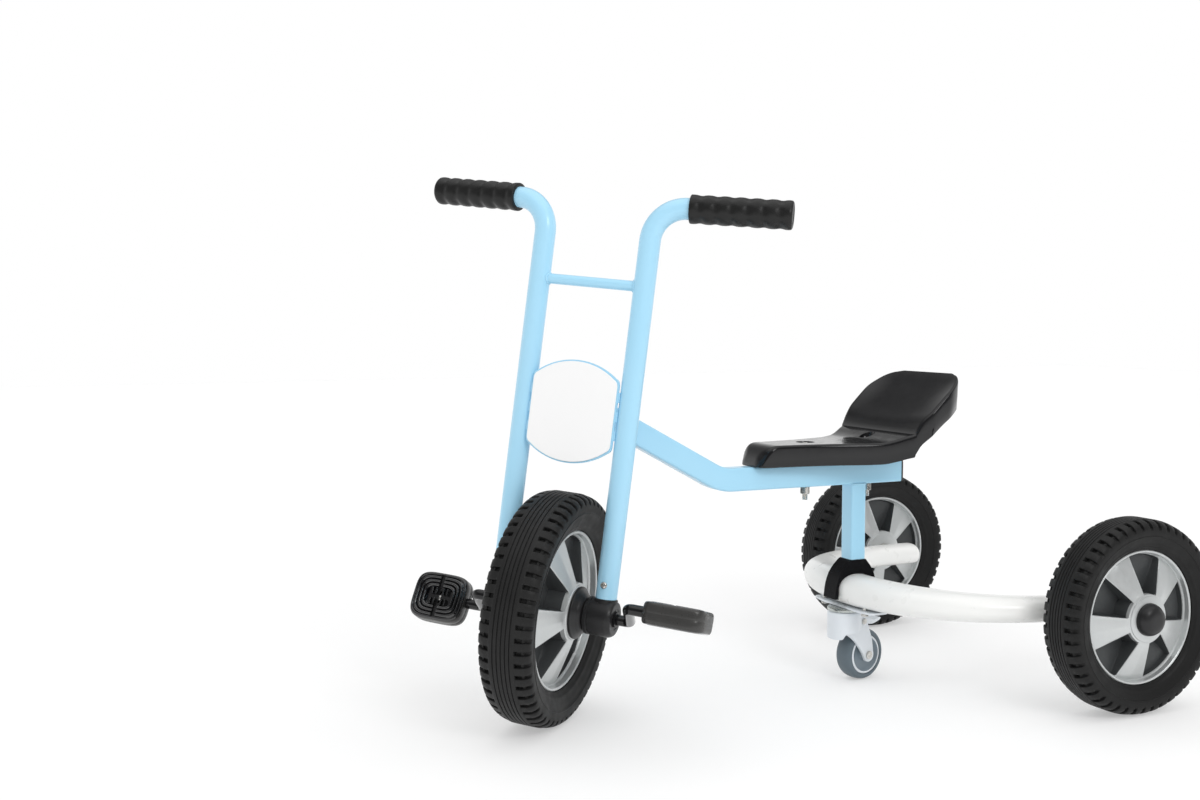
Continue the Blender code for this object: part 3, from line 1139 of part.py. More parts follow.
place("brake_pin", riveted_pin("brake_pin", BRAKE_PIN_DIAMETER / 2, 4.5 * MM, CHEEK_END + SEAT_GAP),
      zinc, lever_hinge)
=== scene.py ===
import json
import math

import bmesh
import bpy
from mathutils import Matrix, Vector


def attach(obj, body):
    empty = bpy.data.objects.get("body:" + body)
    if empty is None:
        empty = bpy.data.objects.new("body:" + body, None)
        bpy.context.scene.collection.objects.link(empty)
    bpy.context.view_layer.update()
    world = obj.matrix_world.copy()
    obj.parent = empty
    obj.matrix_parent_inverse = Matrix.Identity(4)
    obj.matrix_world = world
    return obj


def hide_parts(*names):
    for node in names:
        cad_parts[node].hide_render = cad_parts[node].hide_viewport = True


mm = 0.001
turn = 2 * math.pi
sides = ((1, "left"), (-1, "right"))

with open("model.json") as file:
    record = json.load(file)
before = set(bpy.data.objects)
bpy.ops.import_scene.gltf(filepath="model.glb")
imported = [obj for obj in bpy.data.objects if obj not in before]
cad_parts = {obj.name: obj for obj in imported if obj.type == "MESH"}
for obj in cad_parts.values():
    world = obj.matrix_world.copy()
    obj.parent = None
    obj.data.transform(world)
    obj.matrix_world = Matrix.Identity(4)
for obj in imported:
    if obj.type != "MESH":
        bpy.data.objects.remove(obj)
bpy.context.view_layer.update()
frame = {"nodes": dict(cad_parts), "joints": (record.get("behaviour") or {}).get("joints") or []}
joints = {joint["name"]: joint for joint in frame["joints"]}


# Places. Each piece is built round its own axle, the head or the frame's front axle line.

def jointPoint(name):
    return Vector(joints[name]["pos_m"])


def axisPlace(name, up=(0, 0, 1)):  # x along the joint's axis, z as close to up as it can be
    x = Vector(joints[name]["axis"]).normalized()
    y = Vector(up).cross(x).normalized()
    matrix = Matrix((x, y, x.cross(y))).transposed().to_4x4()
    matrix.translation = jointPoint(name)
    return matrix


def shift(x=0.0, y=0.0, z=0.0):  # a move in millimetres
    return Matrix.Translation((x * mm, y * mm, z * mm))


stance = {"wheelbase": 733.6, "steerBehindTubes": 22}
steerAxis = Vector(joints["steering"]["axis"]).normalized()
across = Vector((1, 0, 0))
forkPlace = axisPlace("front_wheel_spin", steerAxis)
boltPlace = forkPlace @ shift(y=stance["steerBehindTubes"])
headPlace = Matrix((across, steerAxis.cross(across), steerAxis)).transposed().to_4x4()
headPlace.translation = jointPoint("steering")
frameShift = jointPoint("left_rear_wheel_spin").y - stance["wheelbase"] * mm
framePlace = Matrix.Translation((0, frameShift, 0))
casterPlace = axisPlace("caster_wheel_spin")
leverPlace = casterPlace.copy()
leverPlace.translation = jointPoint("caster_brake_press")

onFrame = {"body": "frame", "place": framePlace}
onFork = {"body": "fork", "place": forkPlace}
onFrontWheel = {"body": "front_wheel", "place": forkPlace}
onCasterWheel = {"body": "caster_wheel", "place": casterPlace}
onRearWheel = {word: {"body": word + "_rear_wheel", "place": axisPlace(word + "_rear_wheel_spin")}
               for side, word in sides}


# Shader maths

class Wire:  # a node socket; sums written on it add Math nodes
    def __init__(self, nodes, socket):
        self.nodes = nodes
        self.socket = socket

    def maths(self, operation, first, second=0.0):
        return self.nodes.node("ShaderNodeMath", {"operation": operation}, {0: first, 1: second})

    def __add__(self, other):
        return self.maths("ADD", self, other)

    def __rsub__(self, other):
        return self.maths("SUBTRACT", other, self)

    def __mul__(self, other):
        return self.maths("MULTIPLY", self, other)

    def __pow__(self, other):
        return self.maths("POWER", self, other)

    __radd__ = __add__
    __rmul__ = __mul__

    def orMore(self, other):
        return self.maths("MAXIMUM", self, other)


class Nodes:  # a node tree and the shader at its end
    def __init__(self, tree, shader):
        self.tree = tree
        self.shader = tree.nodes[shader]

    def fill(self, socket, value):
        if isinstance(value, Wire):
            self.tree.links.new(value.socket, socket)
        else:
            socket.default_value = value

    def node(self, kind, settings=None, inputs=None, output=0):
        made = self.tree.nodes.new(kind)
        for key, value in (settings or {}).items():
            setattr(made, key, value)
        for key, value in (inputs or {}).items():
            self.fill(made.inputs[key], value)
        return Wire(self, made.outputs[output])

    def feed(self, key, value):
        self.fill(self.shader.inputs[key], value)

    def span(self, value, low, high, toLow=0.0, toHigh=1.0):
        values = {"Value": value, "From Min": low, "From Max": high, "To Min": toLow, "To Max": toHigh}
        return self.node("ShaderNodeMapRange", {}, values)

    def blend(self, share, first, second):
        colours = {0: share}
        for index, colour in ((6, first), (7, second)):
            colours[index] = colour if isinstance(colour, Wire) else (*colour, 1)
        return self.node("ShaderNodeMix", {"data_type": "RGBA"}, colours, 2)

    def ray(self, kind):
        return self.node("ShaderNodeLightPath", output=f"Is {kind} Ray")


class Finish(Nodes):  # a Principled material; its pattern can be laid out round a wheel's own axle
    def __init__(self, name, slot, place=None):
        self.slot = slot
        self.material = bpy.data.materials.new(name)
        self.material.use_nodes = True
        super().__init__(self.material.node_tree, "Principled BSDF")
        self.point = self.node("ShaderNodeTexCoord", output="Object")
        if place:
            back = place.inverted()
            self.point = self.node("ShaderNodeMapping", {}, {"Vector": self.point, "Location": back.translation,
                                                             "Rotation": back.to_euler()})

    def noise(self, scale, detail=3.0):
        return self.node("ShaderNodeTexNoise", {}, {"Vector": self.point, "Scale": scale, "Detail": detail})

    def cells(self, scale):
        return self.node("ShaderNodeTexVoronoi", {}, {"Vector": self.point, "Scale": scale})

    def radius(self):  # distance from the wheel's own axis, in metres
        y, z = (self.node("ShaderNodeSeparateXYZ", {}, {0: self.point}, letter) for letter in "YZ")
        return (y * y + z * z) ** 0.5

    def rough(self, middle, less, more, scale, detail):  # a roughness that wanders round its middle
        self.feed("Roughness", self.span(self.noise(scale, detail), 0.3, 0.7, middle - less, middle + more))

    def bump(self, height, strength):
        values = {"Height": height, "Strength": strength, "Distance": 0.2 * mm}
        self.feed("Normal", self.node("ShaderNodeBump", {}, values))


# Finishes. spread is how far the roughness wanders, grain the strength of the surface texture.

def grey(value):
    return (value, value, value)


coatSpec = {"deep": (0.375, 0.700, 0.905), "pale": (0.415, 0.725, 0.920), "patch": 9, "rough": 0.34,
            "spread": 0.04, "coat": 0.35, "peel": 620, "grain": 0.10}
blackSpec = {"deep": (0.004, 0.004, 0.005), "pale": (0.008, 0.008, 0.009), "dust": (0.024, 0.023, 0.022),
             "scuff": 0.25, "rough": 0.36, "spread": 0.05, "shine": 0.40, "coat": 0.0, "cells": 900,
             "grain": 0.10}
platedSpec = {"deep": (0.56, 0.55, 0.52), "pale": (0.74, 0.73, 0.70), "fleck": 420, "metal": 1.0, "rough": 0.26,
              "spread": 0.07, "grain": 0.05}
tyreSpec = {"wall": grey(0.009), "crown": grey(0.016), "wearFrom": 138, "wearTo": 151, "rough": 0.52,
            "shine": 0.26, "grain": 0.14}


def coated(name, slot, **changes):  # powder coat and pale mouldings, with a faint orange peel
    spec, finish = {**coatSpec, **changes}, Finish(name, slot)
    finish.feed("Base Color", finish.blend(finish.noise(spec["patch"], 2), spec["deep"], spec["pale"]))
    finish.rough(spec["rough"], spec["spread"], spec["spread"], 45, 3)
    finish.feed("Coat Weight", spec["coat"])
    finish.feed("Coat Roughness", 0.16)
    finish.bump(finish.noise(spec["peel"], 2), spec["grain"])
    return finish


def black(name, slot, **changes):  # dark mouldings and rubber: two tones, a moulded grain and scuffs
    spec, finish = {**blackSpec, **changes}, Finish(name, slot)
    scuff = finish.span(finish.noise(60, 5), 0.62, 0.80)
    body = finish.blend(finish.noise(28, 3), spec["deep"], spec["pale"])
    finish.feed("Base Color", finish.blend(scuff * spec["scuff"], body, spec["dust"]))
    finish.rough(spec["rough"], spec["spread"], spec["spread"], 85, 4)
    finish.feed("Specular IOR Level", spec["shine"])
    finish.feed("Coat Weight", spec["coat"])
    finish.feed("Coat Roughness", 0.06)
    grain = finish.cells(spec["cells"]) * 0.6 + finish.noise(spec["cells"] * 0.7, 2) * 0.4
    finish.bump(grain, spec["grain"])
    return finish


def plated(name, slot, **changes):  # zinc and silver lacquer, with flecks and fine brush marks
    spec, finish = {**platedSpec, **changes}, Finish(name, slot)
    fleck = finish.span(finish.cells(spec["fleck"]), 0.1, 0.7)
    tone = finish.noise(35, 3) * 0.5 + fleck * 0.5
    finish.feed("Base Color", finish.blend(tone, spec["deep"], spec["pale"]))
    finish.feed("Metallic", spec["metal"])
    finish.rough(spec["rough"], spec["spread"], spec["spread"], 210, 3)
    finish.bump(finish.noise(650, 2), spec["grain"])
    return finish


def tyreRubber(name, place, **changes):  # a crown worn paler than the side walls, in patches
    spec, finish = {**tyreSpec, **changes}, Finish(name, "tyre", place)
    worn = finish.span(finish.radius(), spec["wearFrom"] * mm, spec["wearTo"] * mm)
    patch = finish.span(finish.noise(26, 5), 0.35, 0.65, 0.4, 1.0)
    finish.feed("Base Color", finish.blend(worn * patch, spec["wall"], spec["crown"]))
    finish.rough(spec["rough"], 0.06, 0.07, 70, 4)
    finish.feed("Specular IOR Level", spec["shine"])
    rings = finish.node("ShaderNodeTexWave", {"wave_type": "RINGS", "rings_direction": "X"},
                        {"Vector": finish.point, "Scale": 130.0, "Distortion": 0.4})
    finish.bump(finish.noise(800, 3) * 0.8 + rings * 0.12, spec["grain"])
    return finish


finishes = {
    "blue": coated("sky_blue_powder_coat", "blue_steel"),
    "panel": coated("white_panel_coat", "white_panel", deep=grey(0.93), pale=grey(0.95), rough=0.40),
    "moulding": coated("off_white_moulding", "white_moulding", deep=(0.91, 0.91, 0.89),
                       pale=(0.94, 0.94, 0.92), rough=0.30, peel=450, grain=0.02),
    "bush": coated("bush_plastic", "bush_plastic", deep=(0.72, 0.72, 0.68), pale=(0.80, 0.80, 0.76),
                   rough=0.50, coat=0.0),
    "caster": coated("caster_grey", "caster_grey", deep=(0.77, 0.81, 0.85), pale=(0.82, 0.86, 0.90), coat=0.15),
    "core": coated("caster_core_grey", "caster_grey", deep=(0.19, 0.24, 0.28), pale=(0.23, 0.28, 0.32),
                   rough=0.40, coat=0.10),
    "seat": black("seat_black", "black_gloss", rough=0.14, shine=0.5, cells=1300, grain=0.05),
    "plastic": black("satin_black", "black_plastic", deep=(0.012, 0.012, 0.013), pale=(0.019, 0.019, 0.020)),
    "pedal": black("pedal_black", "black_plastic", rough=0.09, spread=0.03, shine=0.6, coat=1.0, grain=0.01),
    # Painted light: the pedal's outer wall is made paler to stand in for light falling on it; its satin
    # roughness is real.
    "pedalSide": black("pedal_side_painted_light", "black_plastic", deep=(0.032, 0.031, 0.030), pale=(0.046, 0.045, 0.043),
                       rough=0.30, shine=0.5, grain=0.04),
    "crank": black("crank_black", "black_steel", rough=0.10, shine=0.5, scuff=0.1, grain=0.01),
    "bracket": black("bracket_black", "black_steel", rough=0.18, shine=0.07, grain=0.02),
    "sleeve": black("axle_sleeve_nylon", "bush_plastic"),
    "grip": black("grip_rubber", "black_rubber", deep=grey(0.009), pale=grey(0.014), rough=0.38, shine=0.32,
                  grain=0.14),
    "tyre": tyreRubber("tyre_rubber", forkPlace),
    "rearTyre": tyreRubber("rear_tyre_rubber", onRearWheel["left"]["place"], wearFrom=118, wearTo=131),
    "silver": plated("wheel_silver", "silver_plastic", deep=(0.56, 0.585, 0.585), pale=(0.66, 0.675, 0.675),
                     fleck=2400, metal=0.55, rough=0.38),
    "pocket": plated("wheel_dark_grey", "silver_plastic", deep=(0.040, 0.044, 0.046),
                     pale=(0.060, 0.064, 0.066), fleck=1600, metal=0.1, rough=0.42),
    "zinc": plated("zinc_plate", "zinc"),
    "race": plated("race_plate", "zinc", deep=(0.40, 0.43, 0.42), pale=(0.56, 0.59, 0.57)),
    "tread": black("caster_tread", "caster_tread", deep=(0.110, 0.145, 0.170), pale=(0.135, 0.170, 0.195),
                   dust=(0.20, 0.21, 0.22), rough=0.46),
}
print("stage: finishes", flush=True)


# Mesh helpers

def sized(points):  # millimetres to metres
    return [tuple(value * mm for value in point) for point in points]


def mirrored(points):  # the points again, in reverse and across x = 0
    return [(-point[0], *point[1:]) for point in reversed(points)]


def rim(count):
    return [turn * index / count for index in range(count)]


def loft(rings, looped=False):  # skins equal rings; a looped row joins up, an open one is capped
    verts = [point for ring in rings for point in ring]
    size, faces = len(rings[0]), []
    for row in range(len(rings) if looped else len(rings) - 1):
        a, b = row * size, (row + 1) % len(rings) * size
        for index in range(size):
            after = (index + 1) % size
            faces.append((a + index, a + after, b + after, b + index))
    if not looped:
        faces += [tuple(range(size)), tuple(range((len(rings) - 1) * size, len(rings) * size))]
    return verts, faces


def quadratic(first, knee, last, steps):  # a curve from first to last that leans towards the knee
    shares = [step / steps for step in range(steps + 1)]
    return [tuple(first * (1 - t) ** 2 + knee * 2 * t * (1 - t) + last * t * t) for t in shares]


def soften(points, closed=True, steps=4):  # (x, y, corner) points to an outline with rounded corners
    outline = []
    for index, point in enumerate(points):
        here, corner = Vector(point[:2]), point[2] if len(point) > 2 else 0
        if not corner or (not closed and index in (0, len(points) - 1)):
            outline.append(point[:2])
            continue
        before = Vector(points[index - 1][:2]) - here
        after = Vector(points[(index + 1) % len(points)][:2]) - here
        first = here + before.normalized() * min(corner, before.length * 0.5)
        last = here + after.normalized() * min(corner, after.length * 0.5)
        outline += quadratic(first, here, last, steps)
    return outline


def turned(points, count=64, axis="X", solid=False):  # (along, radius, corner) in millimetres, spun
    profile = sized(soften(points, not solid))  # a solid's profile starts and ends on the axis
    size, verts, faces = len(profile), [], []
    for angle in rim(count):
        s, c = math.sin(angle), math.cos(angle)
        verts += [(x, r * s, r * c) if axis == "X" else (r * s, r * c, x) for x, r in profile]
    for row in range(count):
        a, b = row * size, (row + 1) % count * size
        for index in range(size - 1 if solid else size):
            after = (index + 1) % size
            faces.append((a + index, a + after, b + after, b + index))
    return verts, faces


def tube(low, high, inner, outer, corner=0, count=64, axis="X"):  # a plain rod when inner is 0
    points = [(low, inner), (low, outer, corner), (high, outer, corner), (high, inner)]
    return turned(points, count, axis, not inner)


def spun(section, angle):  # one (along, radius) section of a wheel, in millimetres
    s, c = math.sin(angle), math.cos(angle)
    return [(x * mm, r * mm * s, r * mm * c) for x, r in section]


def sweep(path, outline, looped=False):  # carries an (across, lift) outline along a path
    path = [Vector(point) for point in path]
    count, rings, side = len(path), [], None
    for index, point in enumerate(path):
        before = path[index - 1] if index or looped else point
        after = path[(index + 1) % count] if index < count - 1 or looped else point
        ahead = (after - before).normalized()
        side = side or ahead.orthogonal()
        side = (side - ahead * side.dot(ahead)).normalized()
        other = side.cross(ahead)
        ring = outline(index) if callable(outline) else outline
        rings.append([point + side * a + other * b for a, b in ring])
    return loft(rings, looped)


def circle(radius, count):
    return [(radius * math.cos(a), radius * math.sin(a)) for a in rim(count)]


def bend(corners, radius, steps):  # rounds each inner corner of a path with an arc
    corners = [Vector(corner) for corner in corners]
    path = [corners[0]]
    for before, corner, after in zip(corners, corners[1:], corners[2:]):
        back, ahead = (before - corner).normalized(), (after - corner).normalized()
        half = back.angle(ahead) / 2
        centre = corner + (back + ahead).normalized() * radius / math.sin(half)
        reach = radius / math.tan(half)
        first = (corner + back * reach - centre).normalized()
        last = (corner + ahead * reach - centre).normalized()
        path += [centre + first.slerp(last, step / steps) * radius for step in range(steps + 1)]
    return path + [corners[-1]]


def rounded(width, height, corner, steps=6):
    points = []
    for quarter, (sx, sy) in enumerate(((1, 1), (-1, 1), (-1, -1), (1, -1))):
        points += arc(sx * (width / 2 - corner), sy * (height / 2 - corner), corner, 90 * quarter,
                      90 * quarter + 90, steps)
    return points


def superOval(halfWide, halfHigh, squareness, count):
    points, power = [], 2 / squareness
    for angle in rim(count):
        c, s = math.cos(angle), math.sin(angle)
        points.append((halfWide * math.copysign(abs(c) ** power, c),
                       halfHigh * math.copysign(abs(s) ** power, s)))
    return points


def arc(x, y, radius, start, end, steps):  # degrees
    angles = [math.radians(start + (end - start) * step / steps) for step in range(steps + 1)]
    return [(x + radius * math.cos(a), y + radius * math.sin(a)) for a in angles]


def smoothstep(value):
    value = min(max(value, 0.0), 1.0)
    return value * value * (3 - 2 * value)


def follow(points, x):  # a curve through (x, y) points that never swings past them
    index = 0
    while index < len(points) - 2 and x > points[index + 1][0]:
        index += 1
    slopes = [(b[1] - a[1]) / (b[0] - a[0]) for a, b in zip(points, points[1:])]

    def tangent(place):
        near, far = slopes[max(place - 1, 0)], slopes[min(place, len(slopes) - 1)]
        return 0.0 if near * far <= 0 else 2 * near * far / (near + far)

    (x0, y0), (x1, y1) = points[index], points[index + 1]
    step = x1 - x0
    t = min(max((x - x0) / step, 0.0), 1.0)
    return ((2 * t ** 3 - 3 * t ** 2 + 1) * y0 + (t ** 3 - 2 * t ** 2 + t) * step * tangent(index)
            + (3 * t ** 2 - 2 * t ** 3) * y1 + (t ** 3 - t ** 2) * step * tangent(index + 1))


def slab(outline, direction):  # a flat outline pushed along a direction, both in millimetres
    step = Vector(direction) * mm
    ring = [Vector(point) for point in sized(outline)]
    return loft([ring, [point + step for point in ring]])


def box(low, high):  # two opposite corners in millimetres
    (x0, y0, z0), (x1, y1, z1) = low, high
    return slab([(x0, y0, z0), (x1, y0, z0), (x1, y1, z0), (x0, y1, z0)], (0, 0, z1 - z0))


def moved(shape, matrix):
    return [matrix @ Vector(point) for point in shape[0]], shape[1]


def onSide(side, shape):  # the shape on the left, or its mirror image on the right
    return moved(shape, Matrix.Diagonal((side, 1, 1, 1)))


def smoothed(mesh, smooth):
    mesh.shade_smooth()
    mesh.set_sharp_from_angle(angle=math.radians(smooth))
    return mesh


def meshOf(name, shape, smooth):
    verts, faces = shape
    mesh = bpy.data.meshes.new(name)
    mesh.from_pydata([tuple(point) for point in verts], [], faces)
    bm = bmesh.new()
    bm.from_mesh(mesh)
    bmesh.ops.remove_doubles(bm, verts=bm.verts, dist=1e-6)
    bmesh.ops.recalc_face_normals(bm, faces=bm.faces)
    bm.to_mesh(mesh)
    bm.free()
    return smoothed(mesh, smooth)


def carve(item, shape, operation, smooth):
    tool = bpy.data.objects.new("tool", meshOf("tool", shape, smooth))
    tool.matrix_world = item.matrix_world.copy()
    bpy.context.scene.collection.objects.link(tool)
    modifier = item.modifiers.new("carve", "BOOLEAN")
    modifier.operation = operation
    modifier.object = tool
    modifier.solver = "EXACT"
    bpy.context.view_layer.update()
    graph = bpy.context.evaluated_depsgraph_get()
    mesh = bpy.data.meshes.new_from_object(item.evaluated_get(graph))
    item.modifiers.clear()
    item.data = smoothed(mesh, smooth)
    bpy.data.objects.remove(tool)


def build(name, replaced, finish, shape, body, place, carving=(), edge=0, steps=3, sharp=40, smooth=35,
          paint=None):  # edge is the corner radius in millimetres; paint picks a finish for each face
    item = bpy.data.objects.new(name, meshOf(name, shape, smooth))
    item.matrix_world = place
    bpy.context.scene.collection.objects.link(item)
    for operation, shapes in carving:
        for cutter in shapes:
            carve(item, cutter, operation, smooth)
    if edge:
        bevel = item.modifiers.new("edge", "BEVEL")
        bevel.width = edge * mm
        bevel.segments = steps
        bevel.limit_method = "ANGLE"
        bevel.angle_limit = math.radians(sharp)
        bevel.harden_normals = True
    looks = [finishes[word] for word in finish.split()]
    item.data.materials.clear()
    for look in looks:
        item.data.materials.append(look.material)
    for face in item.data.polygons:
        face.material_index = paint(face.center) if paint else 0
    item.data.transform(item.matrix_world)
    item.matrix_world = Matrix.Identity(4)
    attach(item, body)
    if replaced:
        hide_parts(replaced)


# Tyres: a ribbed crown, slots across both shoulders and smooth side walls

frontTyre = {
    "radius": 152.5, "width": 70.2, "rim": 104.7, "slots": 58, "slotDepth": 5.2, "grooveDepth": 1.2,
    "grooves": (5.6, 11.2), "wallStart": 15.5,
    "crownEdge": [(16.2, 0.1, 0), (17.2, 0.6, 0), (17.7, 0.8, 1)],  # across, drop, share of the slot
    "shoulder": [(0.60, 1.3, 1), (0.685, 1.9, 1), (0.72, 2.3, 0.55), (0.79, 3.2, 0.55), (0.825, 3.9, 1),
                 (0.88, 5.1, 0.95), (0.93, 6.6, 0.85), (0.97, 8.5, 0.7), (0.99, 10.4, 0.5), (1.0, 12.6, 0.28),
                 (0.998, 15.5, 0)],
    "wall": [(0.10, 0), (0.22, 0), (0.245, 0.6), (0.285, 0.6), (0.31, 0), (0.46, 0), (0.62, 0), (0.76, 0),
             (0.80, 0.5), (0.86, 0.5), (0.90, 0)],  # share of the way down, how far it stands proud
    "taper": (0.30, 1.7), "bead": [(0.70, 2.6), (0.685, 1.0), (0.655, 0)],
    "slot": [(0, 0.1), (0.035, 1), (0.325, 1), (0.36, 0.1), (0.40, 0), (0.68, 0), (0.96, 0)]}  # phase, depth
rearTyre = {**frontTyre, "radius": 131.7, "width": 61, "rim": 90.6, "slots": 50}


def tyreShape(spec):
    half, low, start, groove = spec["width"] / 2, spec["rim"] + 0.4, spec["wallStart"], spec["grooveDepth"]
    scale, deep = spec["width"] / frontTyre["width"], spec["slotDepth"]
    band = [(0, groove, 0), (0.45, groove, 0), (0.9, 0, 0)]
    for middle in spec["grooves"]:
        x = middle * scale
        band += [(x - 0.9, 0, 0), (x - 0.45, groove, 0), (x + 0.45, groove, 0), (x + 0.9, 0, 0)]
    band += [(x * scale, drop, deep * slot) for x, drop, slot in spec["crownEdge"]]
    band += [(half * share, drop, deep * slot) for share, drop, slot in spec["shoulder"]]
    wall, (taper, power) = spec["radius"] - start - low - 2, spec["taper"]
    for share, proud in spec["wall"]:
        band.append((half * (1 - taper * share ** power) + proud, start + wall * share, 0))
    foot = spec["radius"] - low
    band += [(half * share, foot - rise, 0) for share, rise in spec["bead"]]
    section = band + mirrored(band[1:])
    rings = []
    for slot in range(spec["slots"]):
        for phase, depth in spec["slot"]:
            profile = [(x, spec["radius"] - drop - cut * depth) for x, drop, cut in section]
            rings.append(spun(profile, turn * (slot + phase) / spec["slots"]))
    return loft(rings, looped=True)


build("front_tyre_tread", "front_tyre", "tyre", tyreShape(frontTyre), **onFrontWheel, smooth=32)
for side, word in sides:
    build("rear_tread_" + word, "rear_tyre_" + word, "rearTyre", tyreShape(rearTyre), **onRearWheel[word],
          smooth=32)


# Wheel centres: five ridged silver spokes between dark pockets, inside a raised lip

frontCentre = {"rim": 104.7, "scale": 1.0, "bore": 7.3, "lip": 4.2, "half": 22.4, "dish": 11, "hub": 35.6,
               "hubHalf": 36.3, "ring": 2.6, "margin": 2.4, "web": 4, "spokes": 5, "pocket": 18.2, "phase": 7.5,
               "ridge": 1.5, "bead": 0.5, "steps": (0.7, 1.3, 1.9, 2.6, 4), "bands": (0.25, 0.45, 0.65, 0.80),
               "wall": (-1.2, -0.8, -0.4, 0, 0.4, 0.8, 1.2, 1.7, 2.3, 3.0)}
rearCentre = {**frontCentre, "rim": 90.6, "scale": 0.866}


def pocketDepth(spec, degrees, radius):  # 0 on a spoke, 1 on a pocket's floor
    scale, step = spec["scale"], 360 / spec["spokes"]
    away = abs((degrees - spec["phase"] + step / 2) % step - step / 2)
    low, high = (spec["hub"] + spec["ring"]) * scale, spec["rim"] - (spec["lip"] + spec["margin"]) * scale
    across = smoothstep((spec["pocket"] - away) / 2.0 + 0.5)
    return across * smoothstep(min(radius - low, high - radius) / (2.6 * scale))


def centreShape(spec):
    scale, step, edge = spec["scale"], 360 / spec["spokes"], spec["pocket"]
    lip, hub, top = spec["rim"] - spec["lip"] * scale, spec["hub"] * scale, spec["hubHalf"] * scale
    face, floor = spec["half"] * scale, spec["web"] * scale
    dish = face - spec["dish"] * scale
    near, far = (spec["hub"] + spec["ring"]) * scale, lip - spec["margin"] * scale
    half = [0, 5, 10, 14] + [edge + away for away in spec["wall"]] + [24, 28, 32, 35]
    columns = sorted([-36] + half + [-away for away in half[1:]])  # degrees from a pocket's middle
    radii = [near - 0.8, near] + [near + away * scale for away in spec["steps"]]
    radii += [near + (far - near) * share for share in spec["bands"]]
    radii += [far - away * scale for away in reversed(spec["steps"])] + [far]
    rings = []
    for spoke in range(spec["spokes"]):
        for local in columns:
            degrees = spec["phase"] + spoke * step + local
            ridge = spec["ridge"] * max(0.0, (abs(local) - edge) / (step / 2 - edge))
            bead = spec["bead"] * max(0.0, 1 - abs(abs(local) - edge - 1.6) / 0.9)
            outer = [(top, spec["bore"]), (top, hub - 1.4), (top - 0.5, hub - 0.4), (top - 1.6, hub)]
            for radius in radii:
                cone = top - 1.6 - (top - 1.6 - dish) * (radius - hub) / (lip - hub)
                skin = cone + (ridge + bead) * smoothstep(min(radius - near, far - radius) / (7 * scale))
                outer.append((skin + (floor - skin) * pocketDepth(spec, degrees, radius), radius))
            outer += [(dish + 0.6, lip - 1.6), (dish + 2.2, lip - 0.5), (face - 0.9, lip), (face, lip + 0.9),
                      (face, spec["rim"] - 1.2), (face - 1.2, spec["rim"])]
            rings.append(spun(outer + mirrored(outer), math.radians(degrees)))
    return loft(rings, looped=True)


def pocketPaint(spec):  # 1 in the pockets
    low, high = (spec["hub"] + 1) * spec["scale"], spec["rim"] - (spec["lip"] + 1) * spec["scale"]

    def paint(centre):
        radius, degrees = math.hypot(centre.y, centre.z) / mm, math.degrees(math.atan2(centre.y, centre.z))
        return int(low < radius < high and pocketDepth(spec, degrees, radius) > 0.08)
    return paint


build("front_wheel_centre", "front_rim", "silver pocket", centreShape(frontCentre), **onFrontWheel, smooth=30,
      paint=pocketPaint(frontCentre))
for side, word in sides:
    build("rear_centre_" + word, "rear_rim_" + word, "silver pocket", centreShape(rearCentre),
          **onRearWheel[word], smooth=30, paint=pocketPaint(rearCentre))


# Hub: flange, bearing block and collar on each side, all turned about the axle

hub = {"flange": [(36.6, 7.3), (36.6, 34, 0.8), (39.8, 34, 0.8), (41.2, 31.6, 0.8), (44.6, 27.4, 1),
                  (47.0, 25.6, 1), (50.6, 21.6, 1.2), (50.6, 7.3)],
       "block": [(51.8, 8.6), (51.8, 24.5, 1.2), (57.0, 24.5), (57.5, 23.9), (58.5, 23.9), (59.0, 24.5),
                 (84.6, 24.5, 3), (89.5, 21.2, 1.6), (89.5, 14.0, 0.6), (88.6, 13.4, 0.4), (88.6, 8.6)],
       "collar": [(0, 0), (0, 15.5), (24.4, 15.5, 1.4), (24.4, 0)]}
fork = {"offset": 73.5, "radius": 14, "foot": 24.8, "elbow": 532, "bend": 45, "reach": 245, "sweep": 9,
        "rise": 1.8}
for side, word in sides:
    collar = moved(turned(hub["collar"], 48, "Z", True), shift(side * fork["offset"]))
    build("hub_dish_" + word, "hub_flange_" + word, "plastic", onSide(side, turned(hub["flange"], 72)),
          **onFrontWheel, smooth=40)
    build("axle_block_" + word, "bearing_block_" + word, "plastic", onSide(side, turned(hub["block"], 72)),
          **onFork, carving=[("UNION", [collar])], smooth=40)


# Cranks and pedals

crank = {"radius": 7, "bend": 9, "forward": 64.5, "up": 26.7, "elbow": 109.7, "knee": 126.1, "bare": 166,
         "end": 225}
arm = [(crank["elbow"], 0, 0), (crank["knee"], -crank["forward"], crank["up"]),
       (crank["end"], -crank["forward"], crank["up"])]
crankPath = bend(sized([(-x, -y, -z) for x, y, z in reversed(arm)] + arm), crank["bend"] * mm, 10)
bareEnd = Vector((crank["end"] - crank["bare"], 0, 0)) * mm
crankPath = [crankPath[0], crankPath[0] + bareEnd] + crankPath[1:-1] + [crankPath[-1] - bareEnd, crankPath[-1]]
build("crank_rod", "crank", "crank zinc", sweep(crankPath, circle(crank["radius"] * mm, 40)), **onFrontWheel,
      edge=1.2, sharp=60, smooth=45, paint=lambda centre: int(abs(centre.x) > crank["bare"] * mm))

